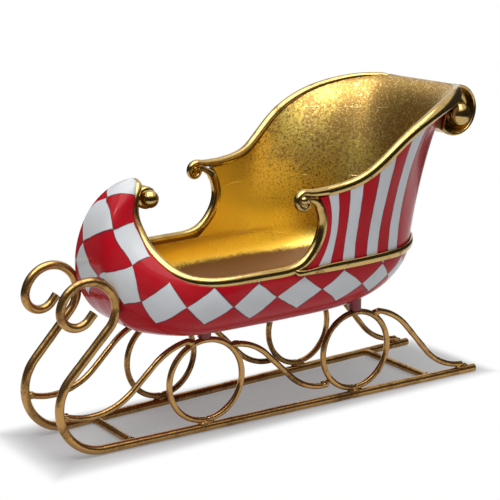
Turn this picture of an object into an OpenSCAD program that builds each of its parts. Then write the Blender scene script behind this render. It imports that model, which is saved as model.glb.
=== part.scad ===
// Sleigh: a painted shell with a curled prow and a winged, rolled back,
// carried by wire rings and braces on two scrolled runners.
// Millimetres. +X is the front, +Y the left side, +Z up, ground at z = 0.

/* [Body] */
// Thickness of the body's shell
wall = 8; // [6:0.5:10]
// Height of the flat bottom above the ground
bottom_z = 106; // [104:1:112]
// Height of the belt line, where the back stands on the hull
belt_z = 165; // [160:1:170]
// Samples along half of the hull's rim
half_steps = 54; // [36:18:72]
// Strips from the hull's bottom edge to its rim
hull_strips = 9; // [6:1:14]
// Strips from the belt line to the top of the back
back_strips = 9; // [6:1:14]

/* [Trim] */
// Height of the gold bead on the shell's edges
bead_h = 8.5; // [5:0.5:12]
// Half width of the gold bead on the shell's edges
bead_w = 5; // [4:0.25:7]
// Height of the belt moulding
belt_h = 9; // [6:0.5:12]
// How far the belt moulding stands out
belt_out = 4; // [2:0.5:6]
// Air left in the glued seams
seam = 0.15; // [0.05:0.01:0.3]

/* [Rolls] */
// Radius of the roll at the top of the back
roll_r = 27; // [22:0.5:32]
// Half length of the roll at the top of the back
roll_half = 56; // [45:1:60]
// Distance of the roll's axis behind the frame's middle
roll_back = 219; // [214:0.5:224]
// Height of the roll's axis
roll_z = 303; // [298:0.5:308]
// Depth of the dish in each end of the roll
dish = 7; // [3:0.5:12]
// Radius of the ball in each end of the back roll
back_ball_r = 12; // [8:0.5:15]
// Radius of the roll inside the prow's curl
prow_roll_r = 12; // [8:0.5:13]
// Half length of the roll inside the prow's curl
prow_roll_half = 9; // [6:0.5:12]
// Radius of the balls at the ends of the prow's roll
prow_ball_r = 9.5; // [7:0.5:11]
// Radius of the volutes on the arms, to the middle of the bead
volute_r = 9.5; // [8:0.25:11]

/* [Undercarriage] */
// Diameter of the runner rods
runner_d = 9.5; // [8:0.25:12]
// Diameter of the ring and brace wire
wire_d = 6.35; // [5:0.05:8]
// Diameter of the cross bars
bar_d = 8; // [6:0.25:9]
// Radius of the rings, to the middle of the wire
ring_r = 42; // [38:0.5:46]
// Place of the front rings along the frame
front_ring_x = 95; // [85:1:105]
// Place of the rear rings along the frame
rear_ring_x = -90; // [-100:1:-80]
// Half distance between the runners at the rear rings
rear_half = 51.8; // [46:0.2:56]
// Angle by which each runner turns inward to the front
toe_in = 2.4; // [0:0.1:5]
// Rear end of the runners along the frame
runner_rear = -258; // [-270:1:-240]
// Place of the front cross bar along the frame
front_bar_x = 178; // [165:1:190]
// Place of the rear cross bar along the frame
rear_bar_x = -192; // [-205:1:-180]
// Radius of the pads between the rings and the bottom
pad_r = 7; // [5:0.5:9]
// Distance of the pads inside the rings' planes
pad_in = 2.5; // [0:0.5:6]

/* [Node] */
// One sub-part, or all of them

/* [Hidden] */
$fn = 32;
eps = 0.01;

GOLD = [0.80, 0.58, 0.18];
DARK_GOLD = [0.45, 0.33, 0.18];
RED = [0.68, 0.08, 0.13];

// Hull stations from the middle of the prow round to the middle of the stern.
// Columns: rim x, rim half width, rim height, foot x, foot half width,
// heading of the outside, bulge beyond the rim, fill of the lower curve, drop of the upper curve.
HULL = [
  [149, 0, 260, 134, 0, 0, 77, 0.98, 0.05],
  [151, 10, 257, 134, 6, 6, 75, 0.97, 0.05],
  [157, 18, 247, 133, 12, 11, 69, 0.95, 0.06],
  [162, 24, 228, 131, 18, 17, 62, 0.92, 0.09],
  [161, 33, 212, 128, 24, 25, 54, 0.87, 0.13],
  [159, 46, 198, 124, 29, 34, 44, 0.83, 0.18],
  [154, 61, 186, 118, 34, 45, 34, 0.79, 0.25],
  [146, 75, 176, 109, 38, 58, 24, 0.76, 0.32],
  [132, 86, 169, 96, 41, 71, 15, 0.73, 0.40],
  [106, 94, 165, 76, 43, 83, 8, 0.69, 0.46],
  [65, 98, 165, 46, 44, 89, 4, 0.66, 0.50],
  [18, 99, 165, 10, 44, 90, 3, 0.66, 0.50],
  [-40, 98, 165, -30, 43, 92, 3, 0.63, 0.50],
  [-80, 95, 165, -54, 38, 96, 2, 0.60, 0.50],
  [-114, 88, 165, -68, 31, 106, 1, 0.57, 0.48],
  [-139, 74, 165, -76, 24, 125, 0, 0.54, 0.46],
  [-160, 53, 165, -81, 16, 144, 0, 0.52, 0.43],
  [-178, 27, 165, -84, 8, 163, 0, 0.50, 0.41],
  [-186, 0, 165, -85, 0, 180, 0, 0.50, 0.40],
];

// Back stations from the arm's front edge round to the middle of the back.
// Columns: place along the rim, top x, top half width, top height,
// lean of the lower curve, reach of the upper curve along x, y and z.
BACK = [
  [11.0, -3, 101, 239.5, -38, -14, 0, -20],
  [11.5, -20, 102, 241, -8, -4, 0, -28],
  [12.0, -44, 104, 245, 0, 0, -1, -30],
  [12.5, -64, 110, 254, 0, 0, -5, -32],
  [13.0, -87, 114, 273, 0, 2, -8, -36],
  [13.5, -107, 115, 289, 0, 4, -11, -36],
  [14.0, -130, 113, 301, 0, 8, -14, -32],
  [14.5, -153, 106, 310, 0, 14, -16, -24],
  [15.0, -178, 93, 316, -4, 18, -14, -12],
  [15.5, -199, 77, 320, -7, 20, -8, -6],
  [16.0, -214, 58, 322, -9, 22, 0, -3],
  [17.0, -219, 30, 322, -10, 23, 0, -2],
  [18.0, -219, 0, 322, -10, 23, 0, -2],
];

// Wire braces in the plane of one side, as two bends with a straight middle.
// Columns: start x, start z, start heading, heading of the middle, end x, end z, end heading.
BRACES = [
  [115.5, 98.6, -8, -43, 246.5, 44.5, 22],
  [58.6, 86.4, 186, 225, -53.6, 22.2, 176],
  [-118.6, 93.8, 192, 229, -239, 12.75, 182],
];

// Profile of the bead on the shell's edge: across, away from the edge.
BEAD = [
  [-0.72, 0], [0.72, 0], [1, 0.28], [1, 0.6], [0.72, 0.88], [0.25, 1],
  [-0.25, 1], [-0.72, 0.88], [-1, 0.6], [-1, 0.28],
];

// Arithmetic on tables and curves

function hermite(a, b, c, d, f) =
  0.5 * (2 * b + (c - a) * f + (2 * a - 5 * b + 4 * c - d) * f * f
  + (3 * b - a - 3 * c + d) * f * f * f);

function clamp_row(table, i) = table[max(0, min(len(table) - 1, i))];

function row_at(table, t) =
  let (i = min(floor(t), len(table) - 2), f = t - i)
  hermite(clamp_row(table, i - 1), table[i], table[i + 1], clamp_row(table, i + 2), f);

function bezier(p, q, r, s, v) =
  let (w = 1 - v)
  p * w * w * w + q * 3 * w * w * v + r * 3 * w * v * v + s * v * v * v;

function unit(v) = v / max(norm(v), 1e-9);
function flip(p) = [p.x, -p.y, p.z];

// Hull surface

stations = len(HULL) - 1;
around = 2 * half_steps;

function hull_profile(t, v) =
  let (
    h = row_at(HULL, t),
    rim = [h[0], h[1], h[2] - HULL[stations][2] + belt_z],
    foot = [h[3], h[4], bottom_z],
    out = [cos(h[5]), sin(h[5]), 0] * h[6],
    corner = [rim.x + out.x, rim.y + out.y, bottom_z],
    low = foot + (corner - foot) * h[7],
    high = [corner.x - 0.15 * out.x, corner.y - 0.15 * out.y, rim.z - (rim.z - bottom_z) * h[8]]
  )
  bezier(foot, low, high, rim, v);

function hull_point(m, j) =
  let (
    k = m <= half_steps ? m : around - m,
    p = hull_profile(stations * k / half_steps, j / hull_strips)
  )
  m <= half_steps ? p : flip(p);

hull_out = [for (m = [0:around - 1]) [for (j = [0:hull_strips]) hull_point(m, j)]];

function hull_normal(m, j) =
  let (
    du = hull_out[(m + 1) % around][j] - hull_out[(m + around - 1) % around][j],
    dv = hull_out[m][min(j + 1, hull_strips)] - hull_out[m][max(j - 1, 0)]
  )
  j == 0 ? [0, 0, -1] : unit(cross(du, dv));

hull_in = [for (m = [0:around - 1]) [for (j = [0:hull_strips])
  hull_out[m][j] - wall * hull_normal(m, j)]];

// Back surface, standing on the hull's rim

arm_step = half_steps * 11 / stations;
back_first = ceil(arm_step);
back_last = around - back_first;
back_count = back_last - back_first;

function back_index(t) =
  let (n = len([for (r = BACK) if (r[0] <= t + eps) 1]) - 1, i = min(n, len(BACK) - 2))
  i + (t - BACK[i][0]) / (BACK[i + 1][0] - BACK[i][0]);

function back_profile(m, v) =
  let (
    near = m <= half_steps,
    k = near ? m : around - m,
    b = row_at(BACK, back_index(stations * k / half_steps)),
    foot = hull_out[k][hull_strips] + [0, 0, seam],
    top = [b[1], b[2], b[3]],
    low = foot + [b[4], 0, 0.35 * (top.z - foot.z)],
    high = top + [b[5], b[6], b[7]],
    p = bezier(foot, low, high, top, v)
  )
  near ? p : flip(p);

back_out = [for (q = [0:back_count]) [for (j = [0:back_strips])
  back_profile(back_first + q, j / back_strips)]];

function back_normal(q, j) =
  let (
    du = back_out[min(q + 1, back_count)][j] - back_out[max(q - 1, 0)][j],
    dv = back_out[q][min(j + 1, back_strips)] - back_out[q][max(j - 1, 0)],
    n = unit(cross(du, dv))
  )
  j == 0 ? hull_normal(back_first + q, hull_strips) : n;

back_in = [for (q = [0:back_count]) [for (j = [0:back_strips])
  back_out[q][j] - wall * back_normal(q, j)]];

// Meshing helpers

function flat(rows) = [for (r = rows) for (p = r) p];

// Two triangles of a four-cornered patch
function patch(a, b, c, d) = [[a, b, c], [a, c, d]];

function join(lists) = [for (l = lists) for (x = l) x];

// A closed bowl: outside and inside grids round a ring, joined at the rim, flat at the foot.
module bowl(outside, inside) {
  n = len(outside);
  s = len(outside[0]);
  half = n * s;
  points = concat(flat(outside), flat(inside));
  sides = [for (m = [0:n - 1]) for (j = [0:s - 2])
    let (a = m * s + j, b = ((m + 1) % n) * s + j)
    concat(patch(a, a + 1, b + 1, b), patch(half + a, half + b, half + b + 1, half + a + 1))];
  rim = [for (m = [0:n - 1])
    let (a = m * s + s - 1, b = ((m + 1) % n) * s + s - 1)
    patch(b, a, half + a, half + b)];
  bottom = [[for (m = [0:n - 1]) m * s]];
  floor_face = [[for (m = [n - 1:-1:0]) half + m * s]];
  polyhedron(points, concat(join(sides), join(rim), bottom, floor_face));
}

// A closed sheet: outside and inside grids joined along all four edges.
module sheet(outside, inside) {
  n = len(outside);
  s = len(outside[0]);
  half = n * s;
  points = concat(flat(outside), flat(inside));
  sides = [for (m = [0:n - 2]) for (j = [0:s - 2])
    let (a = m * s + j, b = a + s)
    concat(patch(a, a + 1, b + 1, b), patch(half + a, half + b, half + b + 1, half + a + 1))];
  edges = [for (m = [0:n - 2])
    let (a = m * s, b = a + s, c = a + s - 1, d = b + s - 1)
    concat(patch(d, c, half + c, half + d), patch(a, b, half + b, half + a))];
  ends = [for (j = [0:s - 2])
    let (e = (n - 1) * s + j)
    concat(patch(j, half + j, half + j + 1, j + 1), patch(e, e + 1, half + e + 1, half + e))];
  polyhedron(points, concat(join(sides), join(edges), join(ends)));
}

// A moulding swept along a path: each frame is [place, across, away, share of the full size].
module moulding(frames, section, width, height) {
  n = len(frames);
  s = len(section);
  points = [for (f = frames) for (p = section)
    f[0] + (f[1] * p.x * width + f[2] * p.y * height) * f[3]];
  sides = [for (i = [0:n - 2]) for (j = [0:s - 1])
    let (a = i * s + j, b = i * s + (j + 1) % s)
    patch(a, b, b + s, a + s)];
  first = [[for (j = [s - 1:-1:0]) j]];
  last = [[for (j = [0:s - 1]) (n - 1) * s + j]];
  polyhedron(points, concat(join(sides), first, last));
}

function edge_frame(o, i, along, size = 1) =
  let (across = unit(o - i), away = unit(cross(across, along)))
  [(o + i) / 2 + away * seam, across, away, size];

// Body

module hull() {
  color(RED) bowl(hull_out, hull_in);
}

module seat_back() {
  color(RED) sheet(back_out, back_in);
}

// Gold trim on the edges

function mean(a, b) = (a + b) / 2;
function hull_along(m) = hull_out[(m + 1) % around][hull_strips] - hull_out[(m + around - 1) % around][hull_strips];
function prow_taper(t) = min(1, 0.62 + 0.1 * t);
function hull_edge(m) =
  edge_frame(hull_out[m][hull_strips], hull_in[m][hull_strips], hull_along(m),
    prow_taper(stations * m / half_steps));
function arm_along(j) = back_out[0][min(j + 1, back_strips)] - back_out[0][max(j - 1, 0)];
function arm_edge(j) = edge_frame(back_out[0][j], back_in[0][j], arm_along(j));
function top_along(q) = back_out[q + 1][back_strips] - back_out[max(q - 1, 0)][back_strips];
function top_edge(q) = edge_frame(back_out[q][back_strips], back_in[q][back_strips], top_along(q));

rim_frames = concat(
  [for (m = [0:back_first - 1]) hull_edge(m)],
  [let (a = hull_edge(back_first - 1), b = arm_edge(1), c = arm_edge(0))
    [c[0] + a[2] * seam, c[1], unit(a[2] + b[2]), 1]],
  [for (j = [1:back_strips - 1]) arm_edge(j)]
);

roll_q = len([for (q = [0:back_count / 2]) if (back_out[q][back_strips].y > roll_half + bead_w) q]) - 1;
top_frames = [for (q = [1:roll_q]) top_edge(q)];

module rim_bead() {
  color(GOLD) moulding(rim_frames, BEAD, bead_w, bead_h);
}

module wing_bead() {
  color(GOLD) moulding(top_frames, BEAD, bead_w, bead_h);
}

module rim_bead_left() rim_bead();
module rim_bead_right() mirror([0, 1, 0]) rim_bead();
module wing_bead_left() wing_bead();
module wing_bead_right() mirror([0, 1, 0]) wing_bead();

// The belt moulding stands on the outside of the seam between hull and back.
belt_frames = [for (q = [0:back_count])
  let (
    m = back_first + q,
    o = back_out[q][0],
    n = unit(o - hull_in[m][hull_strips]),
    down = unit(o - back_out[q][1])
  )
  [o + n * 0.25 - down * 2, down, n, 1]];

module belt_moulding() {
  color(GOLD) moulding(belt_frames, BEAD, belt_h / 2, belt_out);
}

// Volute of the arm: the wing's bead runs on forward and winds into its own middle.
ROUND = [for (a = [0:36:324]) [cos(a), sin(a)]];
volute_from = top_frames[0][0] + top_frames[0][2] * bead_h / 2;
volute_start = [volute_from.x + 0.1, volute_from.z];
volute = volute_start + [29, -7.5];
volute_first = 105;
volute_turn = 405;

// Place, outward direction and size of the bead, a share w of the way round
function wound(w) =
  let (a = volute_first - volute_turn * w, out = [cos(a), sin(a)])
  [volute + out * volute_r * (1 - 0.72 * w), out, 1 - 0.6 * w];

function led(w) =
  let (
    end = wound(0),
    ahead = [sin(volute_first), -cos(volute_first)],
    place = bezier(volute_start, volute_start + [10, 0.5], end[0] - ahead * 9, end[0], w)
  )
  [place, unit([0, 1] * (1 - w) + end[1] * w), 1];

volute_path = concat([for (w = [0:0.2:0.9]) led(w)], [for (w = [0:1 / 32:1]) wound(w)]);
volute_frames = [for (f = volute_path)
  [[f[0].x, volute_from.y, f[0].y], [0, -1, 0], [f[1].x, 0, f[1].y], f[2]]];

module arm_scroll() {
  color(GOLD) moulding(volute_frames, ROUND, bead_w - 0.4, volute_r / 3);
}

module arm_scroll_left() arm_scroll();
module arm_scroll_right() mirror([0, 1, 0]) arm_scroll();

// Rolls and balls

mid_q = back_count / 2;
roll_face = [for (j = [floor(back_strips / 2):back_strips])
  [back_out[mid_q][j].x - 0.3, back_out[mid_q][j].z - 0.3]];

module roll_section() {
  intersection() {
    translate([-roll_back, roll_z]) circle(r = roll_r);
    polygon(concat(roll_face, [[-roll_back - 0.3, roll_z + 2 * roll_r],
      [-roll_back - 2 * roll_r, roll_z + 2 * roll_r], [-roll_back - 2 * roll_r, roll_face[0].y]]));
  }
}

module back_roll() {
  color(GOLD) difference() {
    rotate([90, 0, 0]) translate([0, 0, -roll_half]) linear_extrude(2 * roll_half) roll_section();
    for (side = [-1, 1])
      translate([-roll_back, side * roll_half, roll_z]) rotate([90, 0, 0])
        cylinder(r = back_ball_r + 6, h = 2 * dish, center = true);
  }
}

// A ball cut flat where it stands on its seat
module ball(r, sunk) {
  rotate([-90, 0, 0]) rotate_extrude() intersection() {
    circle(r = r);
    translate([0, -sunk]) square([2 * r, 4 * r]);
  }
}

module back_ball() {
  color(GOLD) translate([-roll_back - 4, roll_half - dish + 7, roll_z - 3]) ball(back_ball_r, 7);
}

module back_ball_left() back_ball();
module back_ball_right() mirror([0, 1, 0]) back_ball();

prow_roll_x = rim_frames[0][0].x - 8.5;
prow_roll_z = rim_frames[0][0].z - prow_roll_r - 4.2;

module prow_roll() {
  color(GOLD) translate([prow_roll_x, 0, prow_roll_z]) rotate([90, 0, 0])
    cylinder(r = prow_roll_r, h = 2 * prow_roll_half, center = true);
}

module prow_ball() {
  color(GOLD) translate([prow_roll_x, prow_roll_half + 5, prow_roll_z]) ball(prow_ball_r, 5);
}

module prow_ball_left() prow_ball();
module prow_ball_right() mirror([0, 1, 0]) prow_ball();

// Undercarriage, drawn in the plane of the left side

ring_z = runner_d + wire_d / 2 + ring_r;
ring_top = ring_z + ring_r + wire_d / 2;

function half_at(x) = rear_half - (x - rear_ring_x) * tan(toe_in);

module in_side(side) {
  flip_across = side < 0 ? [0, 1, 0] : [0, 0, 0];
  flip_through = side < 0 ? [0, 0, 0] : [0, 0, 1];
  mirror(flip_across) translate([rear_ring_x, rear_half, 0]) rotate([0, 0, -toe_in])
    translate([-rear_ring_x, 0, 0]) rotate([90, 0, 0]) mirror(flip_through) children();
}

module rod(from, to, d) {
  v = to - from;
  translate(from) rotate([0, 0, atan2(v.y, v.x)]) rotate([0, 90, 0]) cylinder(d = d, h = norm(v));
}

// A bent rod round a centre, from one angle to a larger one
module bend(centre, r, first, last, d) {
  translate(centre) rotate([0, 0, first]) rotate_extrude(angle = last - first) translate([r, 0]) circle(d = d);
}

// A rod's joint between two bends, or its rounded end
module knuckle(at, d) {
  translate(at) sphere(d = d + 0.08);
}

// Runner: straight rod, front bend, slanting neck, scroll.
tail = 17.5;
tail_d = runner_d - 0.5;
nose_r = 42;
nose = [211.5, runner_d / 2 + nose_r];
scroll_r = 27.5;
scroll = [224, 145];
curl_r = 16;
curl = [scroll.x + scroll_r - curl_r, scroll.y];
neck = scroll - nose;
neck_heading = atan2(neck.y, neck.x) + asin((nose_r + scroll_r) / norm(neck));
neck_side = [sin(neck_heading), -cos(neck_heading)];
neck_low = nose + nose_r * neck_side;
neck_high = scroll - scroll_r * neck_side;

module runner() {
  color(DARK_GOLD) union() {
    rod([runner_rear, runner_d / 2], [runner_rear + tail, runner_d / 2], tail_d);
    rod([runner_rear + tail, runner_d / 2], [nose.x, runner_d / 2], runner_d);
    bend(nose, nose_r, -90, neck_heading - 90, runner_d);
    rod(neck_low, neck_high, runner_d);
    bend(scroll, scroll_r, 0, neck_heading + 90, runner_d);
    bend(curl, curl_r, -165, 0, runner_d);
    knuckle([nose.x, runner_d / 2], runner_d - 0.16);
    knuckle(neck_low, runner_d);
    knuckle(neck_high, runner_d);
    knuckle([scroll.x + scroll_r, scroll.y], runner_d);
  }
}

module runner_left() in_side(1) runner();
module runner_right() in_side(-1) runner();

module ring(x) {
  color(DARK_GOLD) translate([x, ring_z]) rotate_extrude() translate([ring_r, 0]) circle(d = wire_d);
}

module ring_front_left() in_side(1) ring(front_ring_x);
module ring_front_right() in_side(-1) ring(front_ring_x);
module ring_rear_left() in_side(1) ring(rear_ring_x);
module ring_rear_right() in_side(-1) ring(rear_ring_x);

// Step of a unit arc between two headings
function arc_step(a, b) = [sin(b) - sin(a), cos(a) - cos(b)];
function det(a, b) = a.x * b.y - a.y * b.x;

module arc(from, r, a, b, d) {
  centre = from + r * [-sin(a), cos(a)];
  turn = r > 0 ? -90 : 90;
  bend(centre, abs(r), min(a, b) + turn, max(a, b) + turn, d);
}

// Two equal and opposite bends with a straight middle
module brace(b) {
  from = [b[0], b[1]];
  to = [b[4], b[5]];
  one = arc_step(b[2], b[3]);
  two = arc_step(b[3], b[6]);
  way = [cos(b[3]), sin(b[3])];
  r = det(to - from, way) / det(one - two, way);
  middle = from + r * one;
  end = to + r * two;
  color(DARK_GOLD) union() {
    arc(from, r, b[2], b[3], wire_d);
    rod(middle, end, wire_d);
    arc(end, -r, b[3], b[6], wire_d);
    knuckle(middle, wire_d);
    knuckle(end, wire_d);
  }
}

module brace_front_left() in_side(1) brace(BRACES[0]);
module brace_front_right() in_side(-1) brace(BRACES[0]);
module brace_mid_left() in_side(1) brace(BRACES[1]);
module brace_mid_right() in_side(-1) brace(BRACES[1]);
module brace_rear_left() in_side(1) brace(BRACES[2]);
module brace_rear_right() in_side(-1) brace(BRACES[2]);

module crossbar(x) {
  reach = half_at(x) - runner_d / 2 - 0.35;
  color(DARK_GOLD) translate([x, 0, runner_d / 2]) rotate([90, 0, 0])
    cylinder(d = bar_d, h = 2 * reach, center = true);
}

module crossbar_front() crossbar(front_bar_x);
module crossbar_rear() crossbar(rear_bar_x);

// Place on the hull's underside over a point of the ground, as [station, share of the profile].
function under(x, y) =
  let (
    tries = [for (t = [0:0.1:stations]) for (v = [0:0.02:0.4])
      let (p = hull_profile(t, v)) [norm([p.x - x, p.y - y]), t, v]],
    least = min([for (q = tries) q[0]])
  )
  [for (q = tries) if (q[0] == least) [q[1], q[2]]][0];

// Upward normal of the underside at such a place
function under_normal(u) =
  let (
    along = hull_profile(u[0] + 0.02, u[1]) - hull_profile(u[0] - 0.02, u[1]),
    up = hull_profile(u[0], u[1] + 0.01) - hull_profile(u[0], u[1])
  )
  unit(cross(up, along));

// A pad fills the gap between a ring's top and the bottom, and follows the bottom's slope.
module pad(x, side) {
  y = half_at(x) - pad_in;
  seat = under(x, y);
  n = under_normal(seat);
  mirror([0, side < 0 ? 1 : 0, 0]) color(RED) difference() {
    translate([x, y, ring_top + 0.05]) cylinder(r = pad_r, h = 3 * pad_r);
    translate(hull_profile(seat[0], seat[1]) - n * seam) rotate([0, acos(n.z), atan2(n.y, n.x)])
      translate([-5 * pad_r, -5 * pad_r, 0]) cube(10 * pad_r);
  }
}

module pad_front_left() pad(front_ring_x, 1);
module pad_front_right() pad(front_ring_x, -1);
module pad_rear_left() pad(rear_ring_x, 1);
module pad_rear_right() pad(rear_ring_x, -1);

hull();
seat_back();
back_roll();
back_ball_left();
back_ball_right();
prow_roll();
prow_ball_left();
prow_ball_right();
rim_bead_left();
rim_bead_right();
wing_bead_left();
wing_bead_right();
belt_moulding();
arm_scroll_left();
arm_scroll_right();
pad_front_left();
pad_front_right();
pad_rear_left();
pad_rear_right();
ring_front_left();
ring_front_right();
ring_rear_left();
ring_rear_right();
runner_left();
runner_right();
brace_front_left();
brace_front_right();
brace_mid_left();
brace_mid_right();
brace_rear_left();
brace_rear_right();
crossbar_front();
crossbar_rear();
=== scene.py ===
"""Looks of a display sleigh: harlequin and striped paint, gold leaf, gilt beads and antiqued wire."""

import math

import bmesh
import bpy
import numpy as np
from bpy.props import FloatProperty, FloatVectorProperty, PointerProperty
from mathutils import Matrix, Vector, noise


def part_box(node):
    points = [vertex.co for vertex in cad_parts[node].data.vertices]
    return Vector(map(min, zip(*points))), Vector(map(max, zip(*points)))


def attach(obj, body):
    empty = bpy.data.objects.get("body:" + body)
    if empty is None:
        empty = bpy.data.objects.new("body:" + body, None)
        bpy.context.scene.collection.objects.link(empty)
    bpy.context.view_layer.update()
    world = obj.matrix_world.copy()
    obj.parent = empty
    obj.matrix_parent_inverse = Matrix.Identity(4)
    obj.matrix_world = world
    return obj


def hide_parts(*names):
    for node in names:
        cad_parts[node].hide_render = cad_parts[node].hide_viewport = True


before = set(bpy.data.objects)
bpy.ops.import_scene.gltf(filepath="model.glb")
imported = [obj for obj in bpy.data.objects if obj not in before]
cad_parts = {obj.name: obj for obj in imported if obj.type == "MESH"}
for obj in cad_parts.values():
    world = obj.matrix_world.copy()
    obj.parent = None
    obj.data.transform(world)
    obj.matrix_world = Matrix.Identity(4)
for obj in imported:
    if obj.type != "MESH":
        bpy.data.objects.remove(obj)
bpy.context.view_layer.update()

bl_info = {
    "name": "Sleigh Dresser",
    "version": (1, 0, 0),
    "blender": (4, 5, 0),
    "location": "View3D > Sidebar > Sleigh",
    "description": "Dresses a display sleigh with paint, gold leaf, beads and wire",
    "category": "Add Mesh",
}

MM = 0.001
TINY = 1e-12
MERGE_GAP = 2e-6

# Hull stations from the middle of the prow round to the middle of the stern, in millimetres.
# Columns: rim x, rim half width, rim height, foot x, foot half width,
# heading of the outside, bulge beyond the rim, fill of the lower curve, drop of the upper curve.
HULL = np.array([
    [149, 0, 260, 134.5, 0, 0, 77, 0.98, 0.05],
    [151, 10, 257, 134, 6, 6, 75, 0.97, 0.05],
    [157, 18, 247, 133, 12, 11, 69, 0.95, 0.06],
    [162, 24, 228, 131, 18, 17, 62, 0.92, 0.09],
    [161, 33, 212, 128, 24, 25, 54, 0.87, 0.13],
    [159, 46, 198, 124, 29, 34, 44, 0.83, 0.18],
    [154, 61, 186, 118, 34, 45, 34, 0.79, 0.25],
    [146, 75, 176, 109, 38, 58, 24, 0.76, 0.32],
    [132, 86, 169, 96, 41, 71, 15, 0.73, 0.40],
    [106, 94, 165, 76, 43, 83, 8, 0.69, 0.46],
    [65, 98, 165, 46, 44, 89, 4, 0.66, 0.50],
    [18, 99, 165, 10, 44, 90, 3, 0.66, 0.50],
    [-40, 98, 165, -30, 43, 92, 3, 0.63, 0.50],
    [-80, 95, 165, -54, 38, 96, 2, 0.60, 0.50],
    [-114, 88, 165, -68, 31, 106, 1, 0.57, 0.48],
    [-139, 74, 165, -76, 24, 125, 0, 0.54, 0.46],
    [-160, 53, 165, -81, 16, 144, 0, 0.52, 0.43],
    [-178, 27, 165, -84, 8, 163, 0, 0.50, 0.41],
    [-186, 0, 165, -85, 0, 180, 0, 0.50, 0.40],
], float)

# Back stations from the arm's front edge round to the middle of the back.
# Columns: place along the rim, top x, top half width, top height,
# lean of the lower curve, reach of the upper curve along x, y and z.
BACK = np.array([
    [11.0, -3, 101, 239.5, -38, -14, 0, -20],
    [11.5, -20, 102, 241, -8, -4, 0, -28],
    [12.0, -44, 104, 245, 0, 0, -1, -30],
    [12.5, -64, 110, 254, 0, 0, -5, -32],
    [13.0, -87, 114, 273, 0, 2, -8, -36],
    [13.5, -107, 115, 289, 0, 4, -11, -36],
    [14.0, -130, 113, 301, 0, 8, -14, -32],
    [14.5, -153, 106, 310, 0, 14, -16, -24],
    [15.0, -178, 93, 316, -4, 18, -14, -12],
    [15.5, -199, 77, 320, -7, 20, -8, -6],
    [16.0, -214, 58, 322, -9, 22, 0, -3],
    [17.0, -219, 30, 322, -10, 23, 0, -2],
    [18.0, -219, 0, 322, -10, 23, 0, -2],
], float)

# Corners of the diamonds on the hull, from the prow to the stern.
# Columns: column, row, station along the rim, depth below the rim in millimetres.
LATTICE = np.array([
    [-2, -2, -2.2, 84], [-1, 2.38, 0, 0], [-1, 1, 0, 34.4], [-1, -1, -0.96, 80.1],
    [-1, -3, -1.1, 135], [0, 2, 2, 1], [0, 0, 2.48, 35.5], [0, -2, 1.22, 105.1],
    [1, 1, 3.27, 3], [1, -1, 4.41, 29.8], [1, -3, 3.85, 79.6], [2, 0, 5.19, 4.4],
    [2, -2, 5.02, 53.1], [3, -1, 6.56, 10.5], [3, -3, 5.59, 68.8], [4, -2, 7.45, 25.7],
    [5, -1, 8.7, 0.8], [5, -3, 8.18, 42.7], [6, -2, 9.26, 21.8], [7, -1, 9.94, 1.7], [7, -3, 9.72, 42],
    [8, -2, 10.42, 19.5], [9, -1, 11.08, 3.1], [9, -3, 11, 40], [10, -2, 11.48, 20.5],
    [11, -1, 11.93, 4], [11, -3, 11.95, 42], [12, -2, 12.62, 24.5], [13, -1, 13.3, 6], [13, -3, 13.25, 42],
    [14, -2, 13.75, 22], [15, -1, 14.4, 4.8], [15, -3, 14.4, 41.8], [16, -2, 15.2, 23.3], [17, -1, 16.1, 4.8],
    [17, -3, 16.1, 41.8], [18, -2, 17.05, 23.3], [19, -1, 18, 4.8], [19, -3, 18, 41.8],
])
FIRST_COLUMN, LAST_COLUMN = -1, 19
STATION_RUN = 22
PAST_STERN = 4
LOWEST_ROW = -3

# Diamonds by the rim that are red out of turn, as column and row of their middles
RED_CELLS = ((1, 2), (3, 0))

# Stripe numbers from the middle of the back, with even stripes and as painted.
# The stripes behind the corner are wider than the rest.
EVEN_STRIPES = (0.5, 5.2, 8, 30)
PAINTED_STRIPES = (1.5, 7, 8, 30)
STRIPE_ROW = 2

# Wire braces in the plane of one side.
# Columns: start x, start z, start heading, heading of the middle, end x, end z, end heading.
BRACES = (
    ("front", 115.5, 98.6, -8, -43, 249.5, 45.5, 22),
    ("mid", 58.6, 86.4, 186, 225, -53.6, 22.2, 176),
    ("rear", -118.6, 93.8, 192, 229, -239, 12.75, 182),
)

# Shells
STATIONS = len(HULL) - 1
ARM_STATION = 11
WALL = 8
PAINT_WALL = 4.5
LINING_AIR = 0.1
BOTTOM_Z = 106
UPPER_PULL_IN = 0.15
BACK_PULL_RISE = 0.35
STATION_SLACK = 0.01
FLOOR_STRIPS = 16
BACK_LEAF_START = 100

# Bead on the rim, and its tail from the arm's front edge into the volute
BEAD_H = 8.5
BEAD_W = 5
BEAD_SINK = 1.2
CORNER_CUT = 0.25
PROW_BEAD, PROW_BEAD_GROWTH = 0.62, 0.1
ARM_FROM, ARM_SHORT = 2, 6
TAIL_STEPS, TAIL_REACH, TAIL_END = 12, 3, 0.35
TAIL_BEHIND, TAIL_AHEAD, TAIL_TURN = (4, 0, 0), 7, (6, 0, -3)
RIM_EVENING, TAIL_EVENING = 6, 4

# Bead on the wing: it begins behind the arm's front, widens and lies down, and thins away over the roll
WING_FROM = 1 / 3
WING_EVENING = 4
FLARE_X, FLARE_RUN, FLARE_WIDER = -90, 100, 0.45
FLARE_LOWER, LOWER_FROM, LOWER_RUN = 0.18, 24, 22
INTO_ROLL, FADE_RUN, FADED = 14, 17, 0.05

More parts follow.
